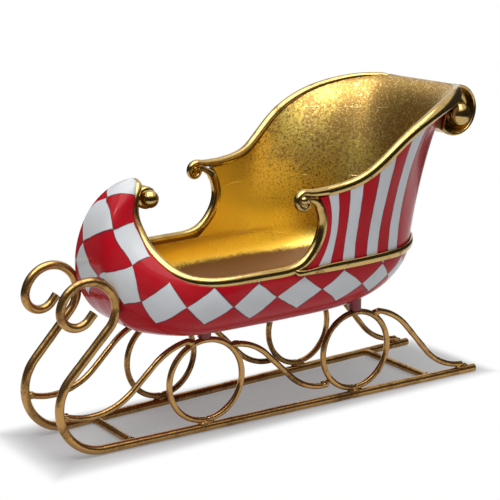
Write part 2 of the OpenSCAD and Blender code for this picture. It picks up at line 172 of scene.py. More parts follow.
# Volute at the arm's front: a lead from the wing's bead, a coil, an eye and a web
VOLUTE_R, VOLUTE_FIRST, VOLUTE_TURN = 9.5, 105, 405
VOLUTE_END, VOLUTE_OUT = 0.28, 3.0
VOLUTE_MIDDLE = (29, -7.5)
VOLUTE_EYE, VOLUTE_WEB = (4.6, 5.2, 4.6), (9.2, 2.0, 9.2)
VOLUTE_IN = (0, 1, 0)
LEAD_BACK, LEAD_PULL, LEAD_LAST = (2, 0), (10, 0.5), 9
LEAD_HIGH, LEAD_WIDE = (4.8, 3.5), (5, 4.6)
COIL_HIGH, COIL_WIDE = (1.1 * VOLUTE_R / 3, 0.7 * VOLUTE_R / 3), (4.6, 0.55 * 4.6)
LEAD_STEPS, COIL_STEPS, COIL_SIDES = 24, 110, 24

# Belt moulding, with a short lead under the rim's bead
BELT_H = 9
BELT_OUT = 4
BELT_AIR = 0.2
BELT_LEAD, BELT_LEAD_SIZES = 3, (0.3, 0.9)
BELT_LIFT, LEAD_LIFT = 2, 7
BELT_SLOPE_ROW = 4

# Rolls and balls
ROLL_R, ROLL_HALF, ROLL_X, ROLL_Z = 27, 56, -219, 303
ROLL_SIDES = 96
DISH = 7
ROLL_OVERLAP = 1
LIP_FADE = 0.7
BACK_BALL_R, BACK_BALL_CUT = 13, 8
BACK_BALL_X, BACK_BALL_Z = ROLL_X - 3, ROLL_Z - 4.5
PROW_ROLL_R, PROW_ROLL_HALF, PROW_ROLL_ROUND = 11.2, 9, 1.5
PROW_BALL_R, PROW_BALL_CUT = 9, 5
BALL_SIDES, BALL_STEPS, PROW_ROLL_SIDES = 48, 24, 64
SMALL_BALL_ROWS, SMALL_BALL_SIDES, POLE_GAP = 16, 24, 0.02
AXIS_R = 0.001

# Lipped and dished end of the back's roll. Columns: share of the outline, reach past the half length.
ROLL_END = (
    (1.0, -8), (1.01, -5), (1.035, -3), (1.045, -0.5), (1.025, 1.8), (0.98, 2.8), (0.93, 2.4),
    (0.89, 0.6), (0.86, -2), (0.80, -4.6), (0.70, -6.4), (0.60, -DISH), (0.35, -DISH), (0.01, -DISH),
)

# Undercarriage
RUNNER_D, WIRE_D, BAR_D = 9.5, 6.35, 8
RUNNER_LOOK_D = RUNNER_D - 0.5
RING_R, FRONT_RING_X, REAR_RING_X = 42, 95, -90
RING_Z = RUNNER_D + WIRE_D / 2 + RING_R
REAR_HALF, TOE_IN = 51.8, math.radians(2.4)
RUNNER_REAR = -258
RINGS = (("front", FRONT_RING_X), ("rear", REAR_RING_X))
BARS = (("front", 178), ("rear", -192))
BAR_OVERLAP, BAR_STEPS = 0.8, 60
NOSE_R = 46
NOSE = np.array([209.5, RUNNER_D / 2 + NOSE_R])
SCROLL, SCROLL_R, CURL_R = np.array([222.6, 145.5]), 29.0, 16.5
CURL_FROM, CURL_TO, CURL_TIP = 12, -138, 9
PAD_R, PAD_SINK, PAD_RISE = 7, 2.0, 0.8
PAD_FOOT, PAD_HEAD = ((-2.2, 0), (-0.6, 0.8), (0, 2)), ((0, 1), (0.6, 0))
WIRE_SIDES, RUNNER_SIDES, PAD_SIDES = 20, 24, 40
STRAIGHT_STEP, ROD_STEP, ARC_STEP = 3.0, 1.5, 1.2
ROD_END, ROD_END_RUN = (0.55, 0.85, 1.0), 0.25
WAVES, WAVE_SHIFT, RUNNER_SEED, RING_SEED = 0.09, 7.1, 1, 3
BAR_WAVES, BAR_WAVINESS = 0.07, 0.2
BAR_WELD, BAR_WELD_IN = (4.8, 2.6, 4.2), 0.4
LUMPS, LUMP_HEIGHT = 1.9, 0.34

# Welds in the plane of one side. Columns: x, z, half length along x, half width, half height.
WELDS = (
    (FRONT_RING_X, RUNNER_D + 0.6, 8.5, 4.2, 3.2),
    (REAR_RING_X, RUNNER_D + 0.6, 8.5, 4.2, 3.2),
    (113, 97, 6.0, 3.8, 3.6),
    (249.5, 45.5, 4.2, 4.0, 4.0),
    (61, 86.5, 5.6, 3.8, 3.8),
    (-51, 23.5, 5.6, 3.8, 3.8),
    (-116, 92, 5.6, 3.8, 3.8),
    (-238, 10.4, 8.0, 4.2, 2.8),
)

# Stage, in metres
FLOOR_SIZE, FLOOR_COLOR = 16, (0.66, 0.66, 0.67)
# Painted shadow on the floor: grey of the glow between the runners, its least share, and where it gives way
# to white.
PAINTED_SHADOW_COLOR, PAINTED_SHADOW_SHARE, PAINTED_SHADOW_EDGE = (0.45, 0.45, 0.45), 0.55, (-0.01, 0.03)
LIT_POINT = (0, 0, 0.15)
TOP_PLACE, TOP_SIZE = (0.1, 0.25, 1.6), 1.4
KEY_PLACE, KEY_SIZE = (0.87, 0.34, 1.39), 0.3
COLLAR_TURN, COLLAR_STEPS = (-102, 210), 96
COLLAR_X, COLLAR_Y, COLLAR_FOOT, COLLAR_TOP = 0.95, 0.80, 0.01, 0.81
COLLAR_COLOR = (0.03, 0.028, 0.025)
SENSOR = 36


# Settings

class SleighPaint(bpy.types.PropertyGroup):
    """Colours and sizes of the painted outside"""

    red: FloatVectorProperty(
        name="Red", description="Red of the diamonds and stripes",
        subtype="COLOR", size=3, min=0, max=1, default=(0.43, 0.005, 0.014))
    white: FloatVectorProperty(
        name="White", description="White of the diamonds and stripes",
        subtype="COLOR", size=3, min=0, max=1, default=(0.60, 0.62, 0.64))
    line: FloatVectorProperty(
        name="Line", description="Dark line where two colours meet",
        subtype="COLOR", size=3, min=0, max=1, default=(0.10, 0.008, 0.014))
    pad: FloatVectorProperty(
        name="Pad", description="Dark red of the pads",
        subtype="COLOR", size=3, min=0, max=1, default=(0.20, 0.012, 0.016))
    pad_shade: FloatVectorProperty(
        name="Pad shade", description="Wax on the pads",
        subtype="COLOR", size=3, min=0, max=1, default=(0.06, 0.012, 0.008))
    line_width: FloatProperty(
        name="Line width", description="Width of the line between colours",
        subtype="DISTANCE", unit="LENGTH", min=0, default=0.0009)
    stripe: FloatProperty(
        name="Stripe", description="Width of a stripe at the belt line",
        subtype="DISTANCE", unit="LENGTH", min=0.005, default=0.016)


class SleighGold(bpy.types.PropertyGroup):
    """Colours of the gilding"""

    leaf: FloatVectorProperty(
        name="Leaf", description="Fresh gold leaf",
        subtype="COLOR", size=3, min=0, max=1, default=(1.0, 0.73, 0.15))
    # Painted highlight: pale flecks that stand in for the leaf's sparkle; the same colour also lightens the
    # borders between sheets of leaf.
    glint: FloatVectorProperty(
        name="Glint", description="Pale flecks and borders of the leaf",
        subtype="COLOR", size=3, min=0, max=1, default=(1.0, 0.82, 0.42))
    # Painted shade: the dark colour that the leaf takes toward the top of the back and in its dark flecks.
    leaf_painted_shade: FloatVectorProperty(
        name="Leaf shade", description="Thin places in the leaf",
        subtype="COLOR", size=3, min=0, max=1, default=(0.31, 0.17, 0.05))
    bead: FloatVectorProperty(
        name="Bead", description="Gilt of the beads and scrolls",
        subtype="COLOR", size=3, min=0, max=1, default=(0.50, 0.34, 0.12))
    bead_shade: FloatVectorProperty(
        name="Bead shade", description="Dark wax in the beads",
        subtype="COLOR", size=3, min=0, max=1, default=(0.13, 0.07, 0.025))
    floor: FloatVectorProperty(
        name="Floor", description="Bare brown ground on the floor",
        subtype="COLOR", size=3, min=0, max=1, default=(0.125, 0.044, 0.010))
    bare_height: FloatProperty(
        name="Bare height", description="Height below which the leaf is rubbed away inside",
        subtype="DISTANCE", unit="LENGTH", min=0, default=0.146)
    ragged: FloatProperty(
        name="Ragged", description="Unevenness of the leaf's lower border",
        subtype="DISTANCE", unit="LENGTH", min=0, default=0.010)
    slope: FloatProperty(
        name="Slope", description="Fall of the leaf's lower border toward the prow",
        min=0, default=0.02)
    leaf_size: FloatProperty(
        name="Leaf size", description="Side of one sheet of leaf",
        subtype="DISTANCE", unit="LENGTH", min=0.02, default=0.078)


class SleighWire(bpy.types.PropertyGroup):
    """Finish of the undercarriage"""

    bright: FloatVectorProperty(
        name="Bright", description="Rubbed bronze on the wire",
        subtype="COLOR", size=3, min=0, max=1, default=(0.46, 0.255, 0.082))
    dark: FloatVectorProperty(
        name="Dark", description="Brown wax on the wire",
        subtype="COLOR", size=3, min=0, max=1, default=(0.12, 0.052, 0.016))
    waviness: FloatProperty(
        name="Waviness", description="Hand-bent unevenness of the rods",
        subtype="DISTANCE", unit="LENGTH", min=0, default=0.00022)


class SleighStage(bpy.types.PropertyGroup):
    """Camera and lamps"""

    camera: FloatVectorProperty(
        name="Camera", description="Place of the camera",
        subtype="TRANSLATION", unit="LENGTH", size=3, default=(0.8218, 1.1850, 0.5258))
    target: FloatVectorProperty(
        name="Target", description="Point that the camera looks at",
        subtype="TRANSLATION", unit="LENGTH", size=3, default=(0.0112, 0.0, 0.16815))
    lens: FloatProperty(
        name="Lens", description="Focal length on a 36 mm sensor, in millimetres",
        min=20, default=102.23)
    top_power: FloatProperty(
        name="Top light", description="Power of the soft box overhead, in watts",
        min=0, default=22)
    key_power: FloatProperty(
        name="Key light", description="Power of the small box at the front, in watts",
        min=0, default=4)
    ambient: FloatProperty(
        name="Ambient", description="Even light from all round",
        min=0, default=0.38)


# Curves and surfaces

def spline_rows(table, places):
    """Rows of a table between its stations, on a smooth curve through them."""
    i = np.minimum(np.floor(places).astype(int), len(table) - 2)
    f = (places - i)[:, None]
    a, b, c, d = (table[np.clip(i + k, 0, len(table) - 1)] for k in (-1, 0, 1, 2))
    return 0.5 * (2 * b + (c - a) * f + (2 * a - 5 * b + 4 * c - d) * f ** 2
                  + (3 * b - a - 3 * c + d) * f ** 3)


def bezier_rows(p, q, r, s, shares):
    """Points on many cubic curves at once: one row for each curve."""
    v = np.asarray(shares)[None, :, None]
    w = 1 - v
    p, q, r, s = (x[:, None, :] for x in (p, q, r, s))
    return p * w ** 3 + q * 3 * w ** 2 * v + r * 3 * w * v ** 2 + s * v ** 3


def hull_surface(places, shares):
    """Outside of the left half of the hull."""
    h = spline_rows(HULL, places)
    rim = h[:, 0:3]
    foot = np.column_stack([h[:, 3], h[:, 4], np.full(len(h), BOTTOM_Z)])
    heading = np.radians(h[:, 5])
    out = np.column_stack([np.cos(heading), np.sin(heading), np.zeros(len(h))]) * h[:, 6:7]
    corner = rim + out
    corner[:, 2] = BOTTOM_Z
    low = foot + (corner - foot) * h[:, 7:8]
    high = corner - UPPER_PULL_IN * out
    high[:, 2] = rim[:, 2] - (rim[:, 2] - BOTTOM_Z) * h[:, 8]
    return bezier_rows(foot, low, high, rim, shares)


def back_surface(places, shares):
    """Outside of the left half of the back, standing on the hull's rim."""
    i = np.clip(np.searchsorted(BACK[:, 0], places + STATION_SLACK, side="right") - 1, 0, len(BACK) - 2)
    index = i + (places - BACK[i, 0]) / (BACK[i + 1, 0] - BACK[i, 0])
    b = spline_rows(BACK, index)
    foot = hull_surface(places, [1.0])[:, 0, :]
    top = b[:, 1:4]
    low = foot.copy()
    low[:, 0] += b[:, 4]
    low[:, 2] += BACK_PULL_RISE * (top[:, 2] - foot[:, 2])
    return bezier_rows(foot, low, top + b[:, 5:8], top, shares)


def flip(points):
    """The same points on the other side of the sleigh."""
    return points * np.array([1, -1, 1])


def unit(v):
    return v / np.maximum(np.linalg.norm(v, axis=-1, keepdims=True), TINY)


def grid_normals(grid, closed):
    """Outward normals of a grid of points."""
    if closed:
        along = np.roll(grid, -1, 0) - np.roll(grid, 1, 0)
    else:
        along = np.gradient(grid, axis=0)
    return unit(np.cross(along, np.gradient(grid, axis=1)))


def smoothed(rows, times):
    """Evens out a run of points, with its ends held."""
    rows = rows.copy()
    for _ in range(times):
        rows[1:-1] = 0.25 * rows[:-2] + 0.5 * rows[1:-1] + 0.25 * rows[2:]
    return rows


class Body:
    """The shells of the sleigh as grids of points, worked out once."""

    half = 216
    hull_strips = 44
    back_strips = 48
    eased_strips = 12
    evening = 12

    def __init__(self):
        self.places = np.linspace(0, STATIONS, self.half + 1)
        shares = np.linspace(0, 1, self.hull_strips + 1)
        near = hull_surface(self.places, shares)
        self.hull = np.concatenate([near, flip(near[-2:0:-1])])
        self.hull_normals = grid_normals(self.hull, True)
        self.hull_normals[:, 0] = (0, 0, -1)
        first = self.half * ARM_STATION // STATIONS
        self.first, self.last = first, 2 * self.half - first
        shares = np.linspace(0, 1, self.back_strips + 1)
        near = back_surface(self.places[first:], shares)
        whole = np.concatenate([near, flip(near[-2::-1])])
        ease = np.clip(np.arange(self.back_strips + 1) / self.eased_strips, 0, 1)[None, :, None]
        self.back = whole + (smoothed(whole, self.evening) - whole) * ease
        self.back_normals = grid_normals(self.back, False)
        seam = unit(self.back_normals[:, 1] + self.hull_normals[first:self.last + 1, -1])
        self.back_normals[:, 0] = seam
        self.hull_normals[first:self.last + 1, -1] = seam

    def hull_inside(self, depth):
        return self.hull - depth * self.hull_normals

    def back_inside(self, depth):
        return self.back - depth * self.back_normals


BODY = Body()


class Shape:
    """Vertices, faces and a pattern value at each vertex, gathered into one mesh."""

    def __init__(self):
        self.points, self.values, self.faces = [], [], []
        self.count = 0

    def add(self, points, faces, values=None):
        """Adds points and faces. Values are the pattern's coordinates at the points."""
        points = np.asarray(points, float).reshape(-1, 3)
        values = np.zeros_like(points) if values is None else np.asarray(values, float).reshape(-1, 3)
        self.points.append(points)
        self.values.append(values)
        self.faces += [tuple(int(k) + self.count for k in f) for f in faces]
        self.count += len(points)

    def grid(self, points, closed=False, inward=False, values=None):
        """Adds a sheet of four-sided faces. Its outside is where along times up points."""
        n, s = points.shape[:2]
        faces = []
        for m in range(n if closed else n - 1):
            for j in range(s - 1):
                a, b = m * s + j, (m + 1) % n * s + j
                face = (a, b, b + 1, a + 1)
                faces.append(face[::-1] if inward else face)
        self.add(points, faces, values)

    def ribbon(self, one, two, closed=False, values=None):
        """Adds a strip of faces between two lines of points, with one line of values for both."""
        values = None if values is None else np.stack([values, values], 1)
        self.grid(np.stack([one, two], 1), closed, values=values)

    def sweep(self, path, across, away, section):
        """Adds a closed section carried along a path, with flat ends."""
        rings = (path[:, None] + across[:, None] * section[None, :, :1]
                 + away[:, None] * section[None, :, 1:])
        n, s = rings.shape[:2]
        faces = []
        for i in range(n - 1):
            for j in range(s):
                a, b = i * s + j, i * s + (j + 1) % s
                faces.append((a, b, b + s, a + s))
        faces.append(tuple(range(s))[::-1])
        faces.append(tuple((n - 1) * s + j for j in range(s)))
        self.add(rings, faces)

    def lathe(self, profile, sides, place, axes):
        """Adds a profile of [radius, height] turned about a line through a place."""
        turn = np.linspace(0, 2 * math.pi, sides, endpoint=False)
        profile = np.asarray(profile, float)
        side = np.cos(turn)[:, None] * axes[0] + np.sin(turn)[:, None] * axes[1]
        rings = (np.asarray(place) + profile[None, :, :1] * side[:, None]
                 + profile[None, :, 1:] * np.asarray(axes[2]))
        self.grid(rings, closed=True)

    def mirrored(self):
        """The same shape on the other side."""
        other = Shape()
        other.points = [flip(p) for p in self.points]
        other.values = list(self.values)
        other.faces = [f[::-1] for f in self.faces]
        other.count = self.count
        return other

    def build(self, name, material, replaced=(), slot="gold", flat_angle=None):
        """Makes the object, in metres, that stands for CAD nodes and rides with the sleigh."""
        mesh = bpy.data.meshes.new(name)
        points = np.concatenate(self.points) * MM
        mesh.from_pydata(points.tolist(), [], self.faces)
        pattern = mesh.attributes.new("pattern", "FLOAT_VECTOR", "POINT")
        pattern.data.foreach_set("vector", np.concatenate(self.values).astype(np.float32).ravel())
        mesh.materials.append(material)
        obj = bpy.data.objects.new(name, mesh)
        bpy.context.scene.collection.objects.link(obj)
        merge_points(mesh)
        mesh.shade_smooth()
        if flat_angle is not None:
            mesh.set_sharp_from_angle(angle=math.radians(flat_angle))
        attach(obj, "root")
        if replaced:
            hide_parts(*replaced)

    def build_pair(self, stem, ending, material, slot="gold", stands_for=True, flat_angle=None):
        """Makes the shape on the left and its mirror image on the right."""
        for shape, side in ((self, "left"), (self.mirrored(), "right")):
            node = f"{stem}_{side}"
            shape.build(node + ending, material, [node] if stands_for else (), slot, flat_angle)


def merge_points(mesh):
    """Joins points that lie on each other and turns all faces outward."""
    work = bmesh.new()
    work.from_mesh(mesh)
    bmesh.ops.remove_doubles(work, verts=work.verts, dist=MERGE_GAP)
    bmesh.ops.recalc_face_normals(work, faces=work.faces)
    work.to_mesh(mesh)
    work.free()


def round_section(sides):
    """A round section of radius 1, as [across, away]."""
    a = np.linspace(0, 2 * math.pi, sides, endpoint=False)
    return np.column_stack([np.cos(a), np.sin(a)])


def soften(points, times):
    """Cuts the corners of a closed outline so that it turns smoothly."""
    points = np.asarray(points, float)
    keep = 1 - CORNER_CUT
    for _ in range(times):
        after = np.roll(points, -1, 0)
        pairs = [keep * points + CORNER_CUT * after, CORNER_CUT * points + keep * after]
        points = np.stack(pairs, 1).reshape(-1, 2)
    return points


BEAD = soften([
    [-0.72, 0], [0.72, 0], [1, 0.28], [1, 0.6], [0.72, 0.88], [0.25, 1],
    [-0.25, 1], [-0.72, 0.88], [-1, 0.6], [-1, 0.28]], 2)


def eased(share):
    """The same share, starting and ending gently."""
    return share * share * (3 - 2 * share)


def taper(ends, share):
    """A size that runs from one end's value to the other's."""
    return ends[0] + (ends[1] - ends[0]) * share


def resampled(path, step):
    """The same line with points an even step apart."""
    length = np.concatenate([[0], np.cumsum(np.linalg.norm(np.diff(path, axis=0), axis=1))])
    places = np.linspace(0, length[-1], max(int(length[-1] / step), 2) + 1)
    return np.column_stack([np.interp(places, length, path[:, k]) for k in range(path.shape[1])])


# Shader helpers and groups

def link_or_set(tree, socket, value):
    if isinstance(value, bpy.types.NodeSocket):
        tree.links.new(value, socket)
    elif isinstance(value, (tuple, list)) and len(value) == 3 and socket.type == "RGBA":
        socket.default_value = (*value, 1)
    else:
        socket.default_value = value


def put(tree, kind, values=(), **settings):
    """Adds a node, sets it up and links or sets its inputs by name or number."""
    node = tree.nodes.new(kind)
    for key, value in settings.items():
        setattr(node, key, value)
    for key, value in dict(values).items():
        link_or_set(tree, node.inputs[key], value)
    return node


def sums(tree, operation, *values):
    """One arithmetic node's output."""
    return put(tree, "ShaderNodeMath", dict(enumerate(values)), operation=operation).outputs[0]


def blend(tree, share, one, two):
    """Colour one where share is 0, colour two where it is 1."""
    node = tree.nodes.new("ShaderNodeMix")
    node.data_type = "RGBA"
    link_or_set(tree, node.inputs[0], share)
    link_or_set(tree, node.inputs[6], one)
    link_or_set(tree, node.inputs[7], two)
    return node.outputs[2]


def ramp(tree, value, low, high):
    """0 below low, 1 above high, smooth between."""
    return put(tree, "ShaderNodeMapRange", {0: value, 1: low, 2: high, 3: 0.0, 4: 1.0},
               interpolation_type="SMOOTHSTEP").outputs[0]


def between(tree, value, low, high, at_low, at_high):
    """Runs evenly from at_low to at_high while the value runs from low to high."""
    return put(tree, "ShaderNodeMapRange", {0: value, 1: low, 2: high, 3: at_low, 4: at_high}).outputs[0]


def scaled(tree, value, factor):
    return sums(tree, "MULTIPLY", value, factor)


def rest_of(tree, share):
    """What a share leaves of 1."""
    return sums(tree, "SUBTRACT", 1.0, share)


def raise_surface(tree, bsdf, height, strength, distance):
    """Turns a height over the surface into the shader's normal."""
    bump = put(tree, "ShaderNodeBump", {"Height": height, "Strength": strength, "Distance": distance})
    tree.links.new(bump.outputs[0], bsdf.inputs["Normal"])


def noise_at(tree, vector, scale, detail=3.0, rough=0.5):
    return put(tree, "ShaderNodeTexNoise", {
        "Vector": vector, "Scale": scale, "Detail": detail, "Roughness": rough}).outputs["Fac"]


def new_group(name, inputs, outputs):
    """An empty shader group with named sockets, and its input and output nodes."""
    tree = bpy.data.node_groups.new(name, "ShaderNodeTree")
    for label, kind, default in inputs:
        socket = tree.interface.new_socket(label, in_out="INPUT", socket_type=kind)
        if default is not None:
            socket.default_value = default
    for label, kind in outputs:
        tree.interface.new_socket(label, in_out="OUTPUT", socket_type=kind)
    return tree, tree.nodes.new("NodeGroupInput").outputs, tree.nodes.new("NodeGroupOutput").inputs


def wax_group(title):
    """Dark wax in patches of gilding set by noise, with rubbed bright places between."""
    tree, get, give = new_group(
        title,
        [("Bright", "NodeSocketColor", (1, 1, 1, 1)), ("Dark", "NodeSocketColor", (0, 0, 0, 1)),
         ("Amount", "NodeSocketFloat", 0.5), ("Scale", "NodeSocketFloat", 60.0)],
        [("Color", "NodeSocketColor"), ("Mask", "NodeSocketFloat"), ("Height", "NodeSocketFloat")])
    finer, fine_share, cover = 9.0, 0.38, 0.85
    level, level_fall, soft = 0.62, 0.3, 0.2
    place = tree.nodes.new("ShaderNodeTexCoord").outputs["Object"]
    broad = noise_at(tree, place, get["Scale"], detail=3.0, rough=0.55)
    fine = noise_at(tree, place, scaled(tree, get["Scale"], finer), detail=4.0, rough=0.65)
    both = sums(tree, "ADD", scaled(tree, broad, 1 - fine_share), scaled(tree, fine, fine_share))
    low = sums(tree, "SUBTRACT", level, scaled(tree, get["Amount"], level_fall))
    mask = ramp(tree, both, low, sums(tree, "ADD", low, soft))
    kept = rest_of(tree, scaled(tree, mask, cover))
    tree.links.new(blend(tree, kept, get["Dark"], get["Bright"]), give["Color"])
    tree.links.new(mask, give["Mask"])
    tree.links.new(both, give["Height"])
    return tree


def edge_group(title):
    """Line along the border between two colours, a little uneven as a hand leaves it."""
    tree, get, give = new_group(
        title,
        [("Distance", "NodeSocketFloat", 1.0), ("Width", "NodeSocketFloat", 0.02)],
        [("Line", "NodeSocketFloat"), ("Ridge", "NodeSocketFloat")])
    least_width = 0.35
    place = tree.nodes.new("ShaderNodeTexCoord").outputs["Object"]
    uneven = ramp(tree, noise_at(tree, place, 90.0, detail=2.0), low=0.25, high=0.7)
    width = sums(tree, "MULTIPLY", get["Width"], sums(tree, "ADD", least_width, uneven))
    near = sums(tree, "DIVIDE", get["Distance"], width)
    tree.links.new(rest_of(tree, ramp(tree, near, low=0.45, high=1.1)), give["Line"])
    tree.links.new(rest_of(tree, ramp(tree, near, low=0.6, high=2.6)), give["Ridge"])
    return tree


def brush_group(title):
    """Slow waves and fine dust under a varnish."""
    tree, get, give = new_group(
        title,
        [("Scale", "NodeSocketFloat", 30.0)],
        [("Height", "NodeSocketFloat"), ("Shade", "NodeSocketFloat"), ("Roughness", "NodeSocketFloat")])
    finer, fine_height = 12.0, 0.08
    place = tree.nodes.new("ShaderNodeTexCoord").outputs["Object"]
    slow = noise_at(tree, place, get["Scale"], detail=2.0)
    fine = noise_at(tree, place, scaled(tree, get["Scale"], finer), detail=3.0)
    tree.links.new(sums(tree, "ADD", slow, scaled(tree, fine, fine_height)), give["Height"])
    tree.links.new(ramp(tree, slow, low=0.3, high=0.75), give["Shade"])
    tree.links.new(between(tree, fine, low=0.3, high=0.7, at_low=0.16, at_high=0.26), give["Roughness"])
    return tree


GROUPS = {"Rubbed wax": wax_group, "Painted edge": edge_group, "Varnish": brush_group}


def use_group(tree, title, values):
    """Places a shared group in a material, made on its first use."""
    group = bpy.data.node_groups.get(title) or GROUPS[title](title)
    return put(tree, "ShaderNodeGroup", values, node_tree=group).outputs


def new_material(name):
    """A material with its tree and shader, or with none where it is made already."""
    material = bpy.data.materials.get(name)
    if material:
        return material, None, None
    material = bpy.data.materials.new(name)
    material.use_nodes = True
    tree = material.node_tree
    return material, tree, tree.nodes["Principled BSDF"]


def pattern_of(tree):
    """The two coordinates that a painted shell carries."""
    node = put(tree, "ShaderNodeAttribute", attribute_name="pattern")
    split = put(tree, "ShaderNodeSeparateXYZ", {0: node.outputs["Vector"]})
    return split.outputs[0], split.outputs[1]


def to_border(tree, value):
    """Distance to the nearest whole number."""
    return sums(tree, "ABSOLUTE", sums(tree, "SUBTRACT", value, sums(tree, "ROUND", value)))


def varnish(tree, bsdf, colour, edge, coat):
    """Gloss paint under a clear coat, with the colour, the edge's line and ridge, and the coat's weight."""
    paint = bpy.context.scene.sleigh_paint
    dust, dust_share, line_share = (0.20, 0.12, 0.10), 0.10, 0.8
    wave_height, ridge_height = 0.35, 0.12
    film = use_group(tree, "Varnish", {"Scale": 28.0})
    shaded = blend(tree, scaled(tree, film["Shade"], dust_share), colour, dust)
    lined = blend(tree, scaled(tree, edge["Line"], line_share), shaded, tuple(paint.line))
    tree.links.new(lined, bsdf.inputs["Base Color"])
    tree.links.new(film["Roughness"], bsdf.inputs["Roughness"])
    height = sums(tree, "ADD", scaled(tree, film["Height"], wave_height),
                  scaled(tree, edge["Ridge"], ridge_height))
    raise_surface(tree, bsdf, height, strength=0.35, distance=0.0006)
    bsdf.inputs["Specular IOR Level"].default_value = 0.06
    bsdf.inputs["Coat Weight"].default_value = coat
    bsdf.inputs["Coat Roughness"].default_value = 0.04


def harlequin_paint():
    """Red and white diamonds. The lowest band is plain red."""
    material, tree, bsdf = new_material("harlequin_paint")
    if tree is None:
        return material
    paint = bpy.context.scene.sleigh_paint
    diamond_side, line_fade = 0.036, 0.08
    along, up = pattern_of(tree)
    u = scaled(tree, sums(tree, "ADD", along, up), 0.5)
    w = scaled(tree, sums(tree, "SUBTRACT", along, up), 0.5)
    odd = sums(tree, "PINGPONG", sums(tree, "ADD", sums(tree, "FLOOR", u), sums(tree, "FLOOR", w)), 1.0)
    cells = []
    for column, row in RED_CELLS:
        across = sums(tree, "ABSOLUTE", sums(tree, "SUBTRACT", along, float(column)))
        over = sums(tree, "ABSOLUTE", sums(tree, "SUBTRACT", up, float(row)))
        cells.append(sums(tree, "ADD", across, over))
    to_cell = sums(tree, "MINIMUM", *cells)
    allowed = sums(tree, "MULTIPLY", sums(tree, "GREATER_THAN", up, float(LOWEST_ROW)),
                   sums(tree, "GREATER_THAN", to_cell, 1.0))
    white = sums(tree, "MULTIPLY", rest_of(tree, odd), allowed)
    border = sums(tree, "MINIMUM", to_border(tree, u), to_border(tree, w))
    shown = sums(tree, "MULTIPLY", ramp(tree, up, LOWEST_ROW - line_fade, LOWEST_ROW),
                 ramp(tree, to_cell, low=1.03, high=1.09))
    edge = use_group(tree, "Painted edge", {
        "Distance": sums(tree, "ADD", border, rest_of(tree, shown)),
        "Width": paint.line_width / diamond_side})
    varnish(tree, bsdf, blend(tree, white, tuple(paint.red), tuple(paint.white)), edge, coat=0.14)
    return material


def striped_paint():
    """Red and white stripes that run up the back."""
    material, tree, bsdf = new_material("striped_paint")
    if tree is None:
        return material
    paint = bpy.context.scene.sleigh_paint
    thinner = 0.7
    along, _ = pattern_of(tree)
    odd = sums(tree, "PINGPONG", sums(tree, "FLOOR", along), 1.0)
    edge = use_group(tree, "Painted edge", {
        "Distance": to_border(tree, along), "Width": thinner * paint.line_width / paint.stripe})
    varnish(tree, bsdf, blend(tree, odd, tuple(paint.white), tuple(paint.red)), edge, coat=0.07)
    return material


def leaf_borders(tree, place, sheet):
    """Broken lines where slanting sheets of leaf meet, as a mask."""
    stray_width, slant_share = 0.02, 0.5
    along, up = pattern_of(tree)
    stray = scaled(tree, noise_at(tree, place, 120.0, detail=3.0), stray_width)
    slant = sums(tree, "ADD", along, scaled(tree, up, slant_share))
    seams = [to_border(tree, sums(tree, "ADD", sums(tree, "DIVIDE", run, sheet), stray))
             for run in (slant, up)]
    line = rest_of(tree, ramp(tree, sums(tree, "MINIMUM", *seams), low=0.003, high=0.010))
    kept = ramp(tree, noise_at(tree, place, 45.0, detail=3.0), low=0.45, high=0.6)
    return sums(tree, "MULTIPLY", line, kept)


def bare_floor(tree, x, z, uneven):
    """Mask of the floor, where the leaf is rubbed away below a sloping, ragged border."""
    gold = bpy.context.scene.sleigh_gold
    soft, cover = 0.006, 0.97
    raised = sums(tree, "ADD", z, scaled(tree, uneven, gold.ragged))
    level = sums(tree, "ADD", raised, scaled(tree, x, gold.slope))
    return scaled(tree, rest_of(tree, ramp(tree, level, gold.bare_height, gold.bare_height + soft)), cover)


